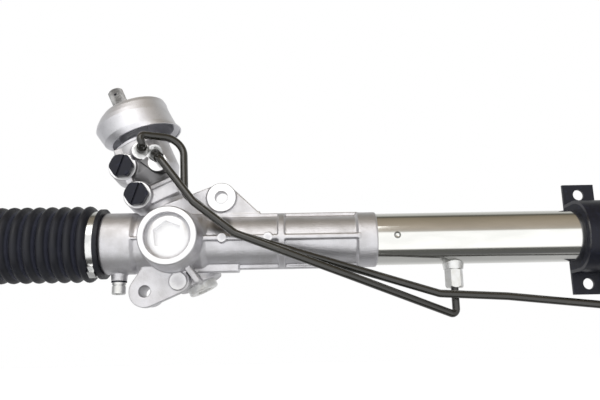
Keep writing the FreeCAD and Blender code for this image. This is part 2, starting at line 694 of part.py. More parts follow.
def pin_across(radius, half):
    """Pin or hole across the top of the shaft."""
    start = Vector(0, -half, SHAFT_TOP_S - PIN_FROM_TOP)
    return Part.makeCylinder(radius, 2 * half, start, Vector(0, 1, 0))


def torsion_bar():
    low, high = FLANGE_S - 17, SHAFT_TOP_S - 3.2
    body = turned([(0, low), (TORSION_R, low), (TORSION_R, SLEEVE_S - 1), (TORSION_R - 0.5, SLEEVE_S + 1),
                   (TORSION_R - 0.5, high), (0, high)])
    return placed(body.cut(pin_across(PIN_R + 0.4, 2 * TORSION_R)), ON_PINION)


def torsion_bar_pin():
    return placed(pin_across(PIN_R, SPLINE_R - CHAMFER), ON_PINION)


def bottom_plug():
    head = BOTTOM_S - BOTTOM_PLUG_HEAD
    body = turned([
        (0, head), (BOTTOM_PLUG_R - 1, head), (BOTTOM_PLUG_R, head + 1), (BOTTOM_PLUG_R, BOTTOM_S),
        (BOTTOM_BORE_R, BOTTOM_S), (BOTTOM_BORE_R, BEARING_S - 0.6), (0, BEARING_S - 0.6)])
    return placed(body.cut(hexagon(BOTTOM_PLUG_HEX, head - CUT, head + 4)), ON_PINION)


# Bell cover

def bell_loft(sections):
    """Solid through round sections of height, radius and sideways shift."""
    circles = [Part.makeCircle(radius, Vector(shift, 0, height), UP) for height, radius, shift in sections]
    return Part.makeLoft([Part.Wire([circle]) for circle in circles], True, True)


def bell_cover():
    """Eccentric bell on a neck that closes the valve bore and carries the shaft seal."""
    x, z = tower_point(BELL_N, BELL_S)
    canted = Placement(Vector(x, PINION_Y, z), Rotation(Vector(0, 1, 0), -BELL_TILT))
    hollow = [(height, radius - BELL_WALL, shift) for height, radius, shift in BELL_SECTIONS[1:-1]]
    rim_r, rim_shift = BELL_SECTIONS[0][1] - BELL_LIP, BELL_SECTIONS[0][2]
    inside = bell_loft([(-CUT, rim_r, rim_shift), (BELL_LIP, rim_r, rim_shift)] + hollow)
    shell = placed(bell_loft(BELL_SECTIONS).cut(inside), canted)
    spigot = TOWER_TOP_S - COVER_BORE_DEPTH + 0.5
    hub = placed(turned([
        (0, spigot), (COVER_BORE_R - SEATED, spigot), (COVER_BORE_R - SEATED, TOWER_TOP_S),
        (NECK_FLANGE_R, TOWER_TOP_S), (NECK_FLANGE_R, TOWER_TOP_S + 2.5), (NECK_R + 2, TOWER_TOP_S + 5),
        (NECK_R, TOWER_TOP_S + 10), (NECK_R, BELL_TOP_S - 1), (0, BELL_TOP_S - 1)]), ON_PINION)
    above = BELL_TOP_S + REACH
    bores = [disc(SHAFT_R + 0.8, spigot, above), disc(SEAL_R + SEATED, SEAL_S, above),
             disc(ROTOR_R + 0.8, spigot - CUT, spigot + 8)]
    return shell.fuse(hub).cut([placed(tool, ON_PINION) for tool in bores]).removeSplitter()


def shaft_seal():
    top = SEAL_S + SEAL_WIDTH
    section = turned([
        (SHAFT_R + RUNNING, SEAL_S), (SEAL_R, SEAL_S), (SEAL_R, top - 1.5), (SHAFT_R + 1.8, top - 1.5),
        (SHAFT_R + RUNNING, top - 2.6)])
    return placed(section, ON_PINION)


# Plugs and line nuts on the tower

def port_plug(place):
    """Plastic transport plug: hexagon head with a screwdriver slot, and a short shank."""
    top, corner_r = PORT_FACE + PORT_PLUG_HEAD, PORT_PLUG_HEX * 0.545
    head = hexagon(PORT_PLUG_HEX, PORT_FACE, top, PORT_PLUG_TURN)
    crown = turned([
        (0, PORT_FACE), (corner_r, PORT_FACE), (corner_r, top - CHAMFER), (corner_r - CHAMFER, top),
        (0, top)])
    shank = disc(HOSE_BORE_R - SEATED, PORT_FACE - HOSE_BORE_DEPTH + 2, PORT_FACE)
    half = PORT_SLOT_WIDTH / 2
    groove = box((-PORT_PLUG_HEX, PORT_PLUG_HEX), (-half, half), (top - PORT_SLOT_DEPTH, top + CUT))
    slot = placed(groove, Placement(ORIGIN, Rotation(UP, 72)))
    return facing(head.common(crown).fuse(shank).cut(slot), *tower_point(*place))


def line_nut(length):
    """Tube nut round a line, drawn from its port face outwards: shank, low hexagon, long sleeve."""
    shank = disc(LINE_BORE_R - SEATED, -LINE_BORE_DEPTH + 2, 0)
    corner_r = LINE_NUT_HEX * 0.55
    crown = turned([
        (0, 0), (corner_r, 0), (corner_r, LINE_NUT_FLAT - CHAMFER), (corner_r - CHAMFER, LINE_NUT_FLAT),
        (0, LINE_NUT_FLAT)])
    head = hexagon(LINE_NUT_HEX, 0, LINE_NUT_FLAT, 15).common(crown)
    sleeve = turned([(0, 0), (LINE_NUT_SLEEVE_R, 0), (LINE_NUT_SLEEVE_R, length - CHAMFER),
                     (LINE_NUT_SLEEVE_R - CHAMFER, length), (0, length)])
    bore = disc(LINE_R + SEATED, -LINE_BORE_DEPTH, length + CUT)
    return head.fuse([shank, sleeve]).cut(bore)


def return_line_nut():
    return aimed(line_nut(RETURN_NUT_LENGTH), return_face(), RETURN_AIM)


def feed_line_nut():
    return aimed(line_nut(FEED_NUT_LENGTH), feed_face(), FEED_AIM)


def vent_plug():
    low = VENT_FACE + WASHER_THICK
    body = turned([(0, VENT_FACE - 8), (VENT_BORE_R - SEATED, VENT_FACE - 8), (VENT_BORE_R - SEATED, low),
                   (VENT_R, low), (VENT_R, low + 2.2), (VENT_R - 0.7, low + 2.5), (VENT_R - 0.7, low + 3.2),
                   (VENT_R, low + 3.5), (VENT_R, low + VENT_LENGTH - 0.8), (VENT_R - 0.8, low + VENT_LENGTH),
                   (0, low + VENT_LENGTH)])
    return hanging(body.cut(hexagon(6, low + VENT_LENGTH - 3, low + VENT_LENGTH + CUT)), VENT_X)


def vent_washer():
    return hanging(ring(VENT_R + 0.8, VENT_BORE_R + SEATED, VENT_FACE, VENT_FACE + WASHER_THICK), VENT_X)


# Hydraulic cylinder

def cylinder_tube():
    tube = placed(ring(TUBE_R, TUBE_BORE_R, COLLAR_RIGHT, TUBE_RIGHT), ALONG_RACK)
    drill = disc(LINE_R, 0, TUBE_R + CUT)
    stake = Part.makeSphere(3.0, Vector(DIMPLE_X, -TUBE_R - 1.8, 0))
    return tube.cut([hanging(drill, LEFT_PORT_X), hanging(drill, RIGHT_PORT_X), stake])


def weld_boss(x):
    """Round boss welded under the cylinder, saddle cut to the tube."""
    outer = turned([(LINE_R + 0.5, TUBE_R - 4), (WELD_BOSS_R + 1.2, TUBE_R - 4),
                    (WELD_BOSS_R, TUBE_R + WELD_BOSS_LENGTH), (LINE_R + 0.5, TUBE_R + WELD_BOSS_LENGTH)])
    return hanging(outer, x).cut(placed(disc(TUBE_R, x - 20, x + 20), ALONG_RACK))


def port_nut(x):
    low = TUBE_R + WELD_BOSS_LENGTH
    head = hexagon(PORT_NUT_HEX, low, low + PORT_NUT_LENGTH, 0)
    crown = turned([(0, low), (PORT_NUT_HEX * 0.5, low), (PORT_NUT_HEX * 0.58, low + 1),
                    (PORT_NUT_HEX * 0.58, low + PORT_NUT_LENGTH - 1.5),
                    (PORT_NUT_HEX * 0.5, low + PORT_NUT_LENGTH), (0, low + PORT_NUT_LENGTH)])
    return hanging(head.common(crown).cut(disc(LINE_R + SEATED, low + 3, low + PORT_NUT_LENGTH + CUT)), x)


def seal_carrier():
    left, right = COLLAR_RIGHT + SPIGOT_LENGTH, CHAMBER_LEFT
    body = turned([
        (RACK_R + 0.6, left), (TUBE_BORE_R - SEATED, left), (TUBE_BORE_R - SEATED, right),
        (RACK_SEAL_R + SEATED, right), (RACK_SEAL_R + SEATED, right - SEAL_LENGTH),
        (RACK_R + 0.6, right - SEAL_LENGTH)])
    return placed(body, ALONG_RACK)


def rack_seal(right):
    return placed(ring(RACK_SEAL_R, RACK_R + RUNNING, right - SEAL_LENGTH + 0.1, right), ALONG_RACK)


def outer_rack_bush():
    left = CHAMBER_RIGHT
    right = left + OUTER_BUSH_LENGTH
    pocket = RACK_SEAL_R + SEATED
    body = turned([
        (pocket, left), (TUBE_BORE_R - SEATED, left), (TUBE_BORE_R - SEATED, right),
        (RACK_R + RUNNING, right), (RACK_R + RUNNING, left + SEAL_LENGTH), (pocket, left + SEAL_LENGTH)])
    return placed(body, ALONG_RACK)


def tube_retainer():
    left = CHAMBER_RIGHT + OUTER_BUSH_LENGTH
    return placed(ring(TUBE_BORE_R - SEATED, RACK_R + 3, left, left + RETAINER_WIDTH), ALONG_RACK)


# Rack bar and piston

def tooth_gap():
    """Space between two rack teeth, drawn across the pinion axis."""
    pitch_y = PINION_Y - PITCH_R
    depth = (PINION_ADDENDUM + ROOT_CLEARANCE) * MODULE
    slope = math.tan(math.radians(PRESSURE_ANGLE))
    half = math.pi * MODULE / 4
    low_half = half - depth * slope
    rise = RACK_R + CUT
    high_half = half + (rise - pitch_y) * slope
    low = pitch_y - depth
    corners = [(-low_half, low), (low_half, low), (high_half, rise), (-high_half, rise)]
    points = [Vector(n, y, -2 * RACK_R) for n, y in corners]
    return Part.Face(Part.makePolygon(points + points[:1])).extrude(Vector(0, 0, 4 * RACK_R))


def rack_bar():
    bar = turned([(0, RACK_LEFT), (RACK_R - 1, RACK_LEFT), (RACK_R, RACK_LEFT + 1), (RACK_R, RACK_RIGHT - 1),
                  (RACK_R - 1, RACK_RIGHT), (0, RACK_RIGHT)])
    bores = [disc(STUD_R + SEATED, RACK_LEFT - CUT, RACK_LEFT + ROD_END_BORE),
             disc(STUD_R + SEATED, RACK_RIGHT - ROD_END_BORE, RACK_RIGHT + CUT)]
    grooves = [ring(RACK_R + CUT, RACK_R - 0.9, x, x + CLIP_WIDTH) for x in clip_places()]
    bar = placed(bar.cut(bores + grooves), ALONG_RACK)
    spacing = math.pi * MODULE / math.cos(TILT)
    each_way = int((TRAVEL + 2 * MODULE * math.pi) / spacing) + 1
    tip_y = PINION_Y - PITCH_R + RACK_ADDENDUM * MODULE
    half = (each_way + 0.5) * spacing
    flat = box((PINION_X - half, PINION_X + half), (tip_y, RACK_R + CUT), (-RACK_R, RACK_R))
    lean = Rotation(Vector(0, 1, 0), -PINION_TILT)
    gap = tooth_gap()
    places = [PINION_X + k * spacing for k in range(-each_way, each_way + 1)]
    return bar.cut([flat] + [placed(gap, Placement(Vector(x, 0, 0), lean)) for x in places])


def clip_places():
    return PISTON_X - PISTON_WIDTH / 2 - CLIP_WIDTH, PISTON_X + PISTON_WIDTH / 2


def piston():
    left, right = PISTON_X - PISTON_WIDTH / 2, PISTON_X + PISTON_WIDTH / 2
    body = ring(TUBE_BORE_R - 0.5, RACK_R + SEATED, left, right)
    half = PISTON_RING_WIDTH / 2
    return placed(body.cut(ring(TUBE_R, TUBE_BORE_R - 3, PISTON_X - half, PISTON_X + half)), ALONG_RACK)


def piston_ring():
    half = PISTON_RING_WIDTH / 2 - 0.05
    band = ring(TUBE_BORE_R - RUNNING, TUBE_BORE_R - 3 + SEATED, PISTON_X - half, PISTON_X + half)
    return placed(band, ALONG_RACK)


def piston_clips():
    clips = [ring(RACK_R + 1.6, RACK_R - 0.9 + SEATED, x, x + CLIP_WIDTH) for x in clip_places()]
    return placed(grouped(clips), ALONG_RACK)


# Ball joints and tie rods, drawn outwards from the ball's centre

def tie_rod_socket():
    flat_r = SOCKET_R * 0.93
    body = turned([
        (0, -SOCKET_BACK - STUD_LENGTH), (STUD_R - 1, -SOCKET_BACK - STUD_LENGTH),
        (STUD_R, -SOCKET_BACK - STUD_LENGTH + 1), (STUD_R, -SOCKET_BACK), (SOCKET_R - 1, -SOCKET_BACK),
        (SOCKET_R, -SOCKET_BACK + 1), (SOCKET_R, 2), (SOCKET_R - 3.4, SOCKET_LIP), (0, SOCKET_LIP)])
    cavity = Part.makeSphere(BALL_R + SEAT_WALL + RUNNING)
    grip = (-SOCKET_BACK - CUT, -SOCKET_BACK / 2)
    flats = [box((flat_r, REACH), (-REACH, REACH), grip), box((-REACH, -flat_r), (-REACH, REACH), grip)]
    mouth_r = math.sqrt((BALL_R + SEAT_WALL) ** 2 - SOCKET_LIP ** 2)
    return body.cut([cavity, disc(mouth_r, SOCKET_LIP - 2, SOCKET_LIP + CUT)] + flats)


def ball_seat():
    """Plastic cup that turns in the socket and holds the ball."""
    cup = Part.makeSphere(BALL_R + SEAT_WALL).cut(Part.makeSphere(BALL_R + RUNNING))
    return cup.cut(disc(2 * BALL_R, SEAT_MOUTH, 2 * BALL_R))


def tie_rod(ball_to_lip):
    """Ball and rod, necked down where the bellows' small cuff grips it, threaded at the end."""
    end = TIE_ROD_LENGTH
    thread = end - THREAD_LENGTH
    nut_low = end - JAM_NUT_FROM_END
    nut_high = nut_low + JAM_NUT_WIDTH + SHANK_SHOW
    groove = bellows_end() - ball_to_lip + SMALL_CUFF_LENGTH / 2
    rod = turned([
        (0, 0), (NECK_ROD_R, 0), (NECK_ROD_R, BALL_R + 10), (TIE_ROD_R, BALL_R + 16),
        (TIE_ROD_R, groove - 4), (TIE_ROD_R - 0.6, groove - 3.4), (TIE_ROD_R - 0.6, groove + 3.4),
        (TIE_ROD_R, groove + 4), (TIE_ROD_R, thread), (THREAD_R, thread + CHAMFER), (THREAD_R, nut_low),
        (TIE_ROD_R, nut_low), (TIE_ROD_R, nut_high), (THREAD_R, nut_high), (THREAD_R, end - 1.5),
        (THREAD_R - 1.5, end), (0, end)])
    return Part.makeSphere(BALL_R).fuse(rod)


def jam_nut():
    low = TIE_ROD_LENGTH - JAM_NUT_FROM_END
    high = low + JAM_NUT_WIDTH
    corner_r = JAM_NUT_HEX * 0.58
    crown = turned([
        (0, low), (JAM_NUT_HEX / 2, low), (corner_r, low + CHAMFER), (corner_r, high - CHAMFER),
        (JAM_NUT_HEX / 2, high), (0, high)])
    bore = disc(TIE_ROD_R + SEATED, low - CUT, high + CUT)
    return hexagon(JAM_NUT_HEX, low, high).common(crown).cut(bore)


# Bellows, drawn outwards from the lip that butts against the barrel or the cylinder

def bellows_end():
    """Distance from the lip's face to the last valley."""
    return FIRST_CREST + BELLOWS_PITCH * (BELLOWS_FOLDS - 0.5)


def fold_radii(fold):
    """Crest and valley radius of one fold: the last folds shrink towards the small cuff."""
    shrinking = max(0, fold - BELLOWS_FULL_FOLDS + 1) / (BELLOWS_FOLDS - BELLOWS_FULL_FOLDS)
    crest = BELLOWS_R + (SMALL_FOLD_R - BELLOWS_R) * shrinking
    valley = BELLOWS_VALLEY_R + (SMALL_CUFF_R + 2.5 - BELLOWS_VALLEY_R) * shrinking
    return crest, valley


def bellows(cuff_seat_r):
    cuff_r = cuff_seat_r + BELLOWS_SKIN
    outer = [(LIP_R, 0), (LIP_R, LIP_WIDTH), (cuff_r, LIP_WIDTH), (cuff_r, BELLOWS_CUFF)]
    inner = [(cuff_seat_r + SOFT, 0), (cuff_seat_r + SOFT, BELLOWS_CUFF)]
    flat = BELLOWS_PITCH * 0.12
    for fold in range(BELLOWS_FOLDS):
        crest, valley = fold_radii(fold)
        middle = FIRST_CREST + BELLOWS_PITCH * fold
        outer += [(crest, middle - flat), (crest, middle + flat), (valley, middle + BELLOWS_PITCH / 2)]
        inner += [(crest - BELLOWS_SKIN, middle), (valley - BELLOWS_SKIN, middle + BELLOWS_PITCH / 2)]
    end = bellows_end()
    outer += [(SMALL_CUFF_R, end + 1), (SMALL_CUFF_R, end + SMALL_CUFF_LENGTH)]
    inner += [(TIE_ROD_R + SOFT, end + 1.5), (TIE_ROD_R + SOFT, end + SMALL_CUFF_LENGTH)]
    return turned(outer + inner[::-1])


def bellows_place(seat_x, side):
    return Placement(Vector(seat_x, 0, 0), Rotation(Vector(0, 1, 0), 90 * side))


def band_clamp(cuff_seat_r):
    """Steel band round the bellows' large cuff, with its crimped ear."""
    inner = cuff_seat_r + BELLOWS_SKIN + SEATED
    low = LIP_WIDTH + 0.1
    high = low + BAND_WIDTH
    top = -inner - EAR_HEIGHT
    half = EAR_WIDTH / 2
    ear = box((-half, half), (top, 0), (low, high))
    hollow = box((BAND_THICK - half, half - BAND_THICK), (top + BAND_THICK, 0), (low - CUT, high + CUT))
    tail = box((0, EAR_WIDTH), (-inner - 2 * BAND_THICK, 0), (low + 0.6, high - 0.6))
    wrapped = disc(inner + BAND_THICK, low, high).fuse([ear, tail])
    core = disc(inner, low - CUT, high + CUT)
    return placed(wrapped.cut([hollow, core]).removeSplitter(), Placement(ORIGIN, Rotation(UP, EAR_TURN)))


def small_clamp():
    """Spring clip on the bellows' small cuff."""
    low = bellows_end() + SMALL_CUFF_LENGTH / 2 - SMALL_CLAMP_WIDTH / 2 + 1
    inner = SMALL_CUFF_R + SOFT
    clip = ring(inner + 1.0, inner, low, low + SMALL_CLAMP_WIDTH)
    ears = [box((inner + 0.5, inner + 6), (y, y + 1), (low, low + SMALL_CLAMP_WIDTH)) for y in (-2.4, 1.4)]
    return clip.fuse(ears).removeSplitter()


# Right-hand mount

def block_section(radius, back):
    """Round at the front and square at the back, as the saddle grips it."""
    left = RIGHT_MOUNT_X - RIGHT_MOUNT_WIDTH / 2
    right = RIGHT_MOUNT_X + RIGHT_MOUNT_WIDTH / 2
    front = placed(disc(radius, left, right), ALONG_RACK)
    return front.fuse(box((left, right), (0, back), (-radius, radius)))


def mount_rubber():
    hole = placed(disc(TUBE_R + SEATED, 0, 2 * RIGHT_MOUNT_X), ALONG_RACK)
    over = box((0, 2 * RIGHT_MOUNT_X), (MOUNT_BACK, 3 * RUBBER_R), (-2 * RUBBER_R, 2 * RUBBER_R))
    return block_section(RUBBER_R, MOUNT_BACK).cut([hole, over])


def mount_saddle():
    outer = block_section(RUBBER_R + SEATED + SADDLE_THICK, MOUNT_BACK)
    width = (RIGHT_MOUNT_X - RIGHT_MOUNT_WIDTH / 2, RIGHT_MOUNT_X + RIGHT_MOUNT_WIDTH / 2)
    foot = box(width, (MOUNT_BACK - SADDLE_THICK, MOUNT_BACK), (-SADDLE_FOOT_Z, SADDLE_FOOT_Z))
    over = box((0, 2 * RIGHT_MOUNT_X), (MOUNT_BACK, 3 * RUBBER_R), (-2 * RUBBER_R, 2 * RUBBER_R))
    core = block_section(RUBBER_R + SEATED, MOUNT_BACK + CUT)
    holes = [facing(disc(SADDLE_HOLE_R, -MOUNT_BACK - CUT, 0), RIGHT_MOUNT_X, z)
             for z in (-SADDLE_HOLE_Z, SADDLE_HOLE_Z)]
    return outer.fuse(foot).cut([core, over] + holes).removeSplitter()


# Hydraulic lines

def into_port(x, under):
    """The last two corners, below a cylinder port and up inside its nut."""
    return [Vector(x, 0, under), Vector(x, 0, -TUBE_R - WELD_BOSS_LENGTH - 5)]


def out_of_port(face, aim, length):
    """The first two corners, inside a port and beyond its nut."""
    return [face - aim * (LINE_BORE_DEPTH - 3), face + aim * length]


def return_line():
    """From the upper line port, round under the bell and along to the cylinder's far port."""
    leaving = out_of_port(return_face(), RETURN_AIM, RETURN_NUT_LENGTH + RETURN_LEAD)
    points = leaving + RETURN_ROUTE + into_port(RIGHT_PORT_X, RETURN_UNDER)
    bends = [LOOP_BEND, LOOP_BEND, ARCH_BEND] + [LINE_BEND] * (len(points) - 5)
    return bent_tube(points, LINE_R, bends)


def feed_line():
    """From the slanting port, in front of the other line and up into the cylinder's near port."""
    leaving = out_of_port(feed_face(), FEED_AIM, FEED_NUT_LENGTH + FEED_LEAD)
    points = leaving + FEED_ROUTE + into_port(LEFT_PORT_X, FEED_UNDER)
    bends = [LINE_BEND] * (len(points) - 3) + [ELBOW_BEND]
    return bent_tube(points, LINE_R, bends)


SUBPARTS = {
    "gear_housing": gear_housing,
    "bell_cover": bell_cover,
    "shaft_seal": shaft_seal,
    "upper_port_plug": lambda: port_plug(UPPER_PORT),
    "lower_port_plug": lambda: port_plug(LOWER_PORT),
    "yoke_plug": yoke_plug,
    "yoke_springs": yoke_springs,
    "support_yoke": support_yoke,
    "bottom_plug": bottom_plug,
    "vent_plug": vent_plug,
    "vent_washer": vent_washer,
    "bearing_outer_race": bearing_outer_race,
    "bearing_balls": bearing_balls,
    "bearing_inner_race": bearing_inner_race,
    "needle_bush": needle_bush,
    "pinion": pinion,
    "valve_sleeve": valve_sleeve,
    "sleeve_seal_rings": sleeve_seal_rings,
    "torsion_bar": torsion_bar,
    "input_shaft": input_shaft,
    "torsion_bar_pin": torsion_bar_pin,
    "cylinder_tube": cylinder_tube,
    "left_weld_boss": lambda: weld_boss(LEFT_PORT_X),
    "right_weld_boss": lambda: weld_boss(RIGHT_PORT_X),
    "left_port_nut": lambda: port_nut(LEFT_PORT_X),
    "right_port_nut": lambda: port_nut(RIGHT_PORT_X),
    "seal_carrier": seal_carrier,
    "inner_rack_seal": lambda: rack_seal(CHAMBER_LEFT),
    "outer_rack_seal": lambda: rack_seal(CHAMBER_RIGHT + SEAL_LENGTH),
    "outer_rack_bush": outer_rack_bush,
    "tube_retainer": tube_retainer,
    "return_line": return_line,
    "feed_line": feed_line,
    "return_line_nut": return_line_nut,
    "feed_line_nut": feed_line_nut,
    "rack_bar": rack_bar,
    "piston": piston,
    "piston_ring": piston_ring,
    "piston_clips": piston_clips,
    "left_socket": lambda: placed(tie_rod_socket(), OUT_LEFT),
    "right_socket": lambda: placed(tie_rod_socket(), OUT_RIGHT),
    "left_ball_seat": lambda: placed(ball_seat(), OUT_LEFT),
    "right_ball_seat": lambda: placed(ball_seat(), OUT_RIGHT),
    "left_tie_rod": lambda: placed(tie_rod(LEFT_LIP_X - LEFT_BALL_X), OUT_LEFT),
    "right_tie_rod": lambda: placed(tie_rod(RIGHT_BALL_X - RIGHT_LIP_X), OUT_RIGHT),
    "left_jam_nut": lambda: placed(jam_nut(), OUT_LEFT),
    "right_jam_nut": lambda: placed(jam_nut(), OUT_RIGHT),
    "left_bellows": lambda: placed(bellows(CUFF_R), bellows_place(LEFT_LIP_X, -1)),
    "right_bellows": lambda: placed(bellows(TUBE_R), bellows_place(RIGHT_LIP_X, 1)),
    "left_band_clamp": lambda: placed(band_clamp(CUFF_R), bellows_place(LEFT_LIP_X, -1)),
    "right_band_clamp": lambda: placed(band_clamp(TUBE_R), bellows_place(RIGHT_LIP_X, 1)),
    "left_small_clamp": lambda: placed(small_clamp(), bellows_place(LEFT_LIP_X, -1)),
    "right_small_clamp": lambda: placed(small_clamp(), bellows_place(RIGHT_LIP_X, 1)),
    "mount_rubber": mount_rubber,
    "mount_saddle": mount_saddle,
}

os.makedirs("parts", exist_ok=True)
for name, build in SUBPARTS.items():
    shape = placed(build(), TO_MOUNT)
    shape.exportStep("parts/" + name + ".step")
    print(name, "solids", len(shape.Solids), "volume", round(shape.Volume), "valid", shape.isValid())
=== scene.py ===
"""Looks for a power steering rack: cast, turned, plated and rubber finishes, the bellows and the studio."""
import json
import math

import bmesh
import bpy
from bpy.props import FloatProperty, FloatVectorProperty, IntProperty, PointerProperty
from mathutils import Matrix, Vector


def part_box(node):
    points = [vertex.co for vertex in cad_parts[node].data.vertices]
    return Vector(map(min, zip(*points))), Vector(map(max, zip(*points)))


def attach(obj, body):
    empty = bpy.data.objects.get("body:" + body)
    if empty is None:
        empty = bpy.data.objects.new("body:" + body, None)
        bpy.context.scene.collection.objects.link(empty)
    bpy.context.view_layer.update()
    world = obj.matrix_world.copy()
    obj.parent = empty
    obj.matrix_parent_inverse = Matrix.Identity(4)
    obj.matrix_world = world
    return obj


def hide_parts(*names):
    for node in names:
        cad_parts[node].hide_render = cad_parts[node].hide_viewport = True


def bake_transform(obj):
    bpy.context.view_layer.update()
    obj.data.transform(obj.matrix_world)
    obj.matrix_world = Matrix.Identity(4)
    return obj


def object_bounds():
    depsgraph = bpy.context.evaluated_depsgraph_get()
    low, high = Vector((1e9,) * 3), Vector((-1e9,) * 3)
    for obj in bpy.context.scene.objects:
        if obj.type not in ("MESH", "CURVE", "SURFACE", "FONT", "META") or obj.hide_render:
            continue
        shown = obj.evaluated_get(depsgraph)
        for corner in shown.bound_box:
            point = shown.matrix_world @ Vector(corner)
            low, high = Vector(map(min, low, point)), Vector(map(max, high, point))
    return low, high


bl_info = {
    "name": "Power Steering Rack",
    "version": (1, 0, 0),
    "blender": (4, 5, 0),
    "location": "View3D > Sidebar > Steering Rack",
    "description": "Dresses a packed steering rack with its finishes, bellows, threads and studio",
    "category": "Object",
}

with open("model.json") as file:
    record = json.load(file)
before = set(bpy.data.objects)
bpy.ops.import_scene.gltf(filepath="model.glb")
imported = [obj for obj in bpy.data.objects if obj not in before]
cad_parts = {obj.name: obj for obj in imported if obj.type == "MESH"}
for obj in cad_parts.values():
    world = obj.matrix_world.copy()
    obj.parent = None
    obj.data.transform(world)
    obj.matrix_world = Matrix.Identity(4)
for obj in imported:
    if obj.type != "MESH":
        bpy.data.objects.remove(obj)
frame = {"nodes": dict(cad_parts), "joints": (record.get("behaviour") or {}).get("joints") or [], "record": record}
CAD_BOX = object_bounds()

MM = 0.001
NODES = frame["nodes"]
MOUNTS = {mount["name"]: mount for mount in frame["record"]["mounts"]}
JOINTS = {joint["name"]: joint for joint in frame["joints"]}

# Places and directions that the frame gives
RACK_LINE = Vector((0, *JOINTS["left_rod_swing"]["pos_m"][1:]))
PINION_POINT = Vector(JOINTS["pinion_turn"]["pos_m"])
PINION_AXIS = Vector(JOINTS["pinion_turn"]["axis"])
ACROSS_PINION = Vector((PINION_AXIS.z, 0, -PINION_AXIS.x))
TO_VIEWER = Vector((0, -1, 0))


def on_tower(across, along, front):
    """Point across and along the pinion axis and in front of the rack's axis, in millimetres."""
    point = PINION_POINT + (ACROSS_PINION * across + PINION_AXIS * along) * MM
    return Vector((point.x, RACK_LINE.y - front * MM, point.z))


def before_rack(right, up, front):
    """Point right of the yoke's axis, above and in front of the rack's axis, in millimetres."""
    low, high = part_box("yoke_plug")
    return Vector(((low.x + high.x) / 2 + right * MM, RACK_LINE.y - front * MM, RACK_LINE.z + up * MM))


# Faces on the tower that the pipes screw into, and the pad beside them
RETURN_FACE = on_tower(2.9, 93.0, 16.0)
RETURN_AIM = Vector((0.30, -0.95, 0.03)).normalized()
FEED_FACE = on_tower(13.2, 86.5, 13.7)
FEED_AIM = Vector((0.42, -0.75, -0.51)).normalized()
VALVE_PAD = on_tower(12.3, 76.6, 14.5)

# Flat faces that stay part of the rounded casting: place, direction and radius in millimetres
MILLED = ((RETURN_FACE, RETURN_AIM, 8.2), (FEED_FACE, FEED_AIM, 7.8), (VALVE_PAD, TO_VIEWER, 8.9),
          ((VALVE_PAD + RETURN_FACE) / 2, TO_VIEWER, 7.0))

# Places where shade is painted on the casting: between the ports, in the lower lug's bore and right of the yoke
SHADED_POCKETS = ((on_tower(1.0, 72.0, 20.0), 21.0), (Vector(MOUNTS["lower_mounting_bore"]["pos_m"]), 6.2),
           (before_rack(44.0, 14.0, 20.0), 12.0))

# Round cast pads: two on the rib along the body and one beside the lower lug
PADS = {"left": (before_rack(45.4, 0.0, 26.2), 4.2), "right": (before_rack(86.4, 0.0, 26.2), 4.2),
        "lower": (before_rack(4.9, -36.7, 13.5), 7.9)}

# Staked dimple on the tube, and where the shade painted round its edge fades in and out
DIMPLE = before_rack(202.5, 0.0, 24.0)
DIMPLE_SHADE_RADII = (1.9, 2.2, 2.9, 3.3)

# Millimetres along a piece where its finish changes
NUT_SLEEVE = (3.9, 4.3)
ROD_THREAD = (171.5, 173.0)
ROD_THREAD_PITCH = 1.5
SERRATION_LENGTH = 24.0
SERRATION_RUNOUT = 2.0
SERRATIONS = 36.0

# Reflections round the rack, as shares of a turn: 0.25 is below, 0.5 in front, 0.75 above, 0 and 1 behind
ROOM_BANDS = (
    (0.00, (0.95, 0.95, 0.95)), (0.143, (0.52, 0.52, 0.52)), (0.237, (0.46, 0.46, 0.46)),
    (0.260, (0.12, 0.12, 0.12)), (0.338, (0.11, 0.11, 0.10)), (0.352, (1.25, 1.25, 1.25)),
    (0.554, (1.25, 1.25, 1.25)), (0.572, (0.48, 0.44, 0.39)), (0.616, (0.45, 0.39, 0.32)),
    (0.70, (0.34, 0.29, 0.22)), (0.762, (0.26, 0.22, 0.16)), (0.785, (0.12, 0.11, 0.09)),
    (0.803, (0.12, 0.11, 0.09)), (0.825, (0.50, 0.50, 0.47)), (0.97, (0.95, 0.95, 0.95)))
ROOM_SIDES = (0.62, 0.62, 0.62)


# Shader expressions

class Field:
    """A number, colour or vector that varies over a surface. Arithmetic on it adds nodes to its graph."""

    def __init__(self, graph, socket):
        self.graph = graph
        self.socket = socket

    def maths(self, operation, *values):
        return self.graph.node("ShaderNodeMath", {"operation": operation}, dict(enumerate(values)))

    def __add__(self, other):
        return self.maths("ADD", self, other)

    def __radd__(self, other):
        return self.maths("ADD", other, self)

    def __sub__(self, other):
        return self.maths("SUBTRACT", self, other)

    def __rsub__(self, other):
        return self.maths("SUBTRACT", other, self)

    def __mul__(self, other):
        return self.maths("MULTIPLY", self, other)

    def __rmul__(self, other):
        return self.maths("MULTIPLY", other, self)

    def __truediv__(self, other):
        return self.maths("DIVIDE", self, other)

    def sine(self):
        return self.maths("SINE", self)

    def greater(self, other):
        return self.maths("MAXIMUM", self, other)

    def angle(self, other):
        return self.maths("ARCTAN2", self, other)

    def between(self, low, high):
        """0 below low, 1 above high, and a smooth step between them."""
        return self.graph.node("ShaderNodeMapRange", {"interpolation_type": "SMOOTHSTEP"},
                               {"Value": self, "From Min": low, "From Max": high})


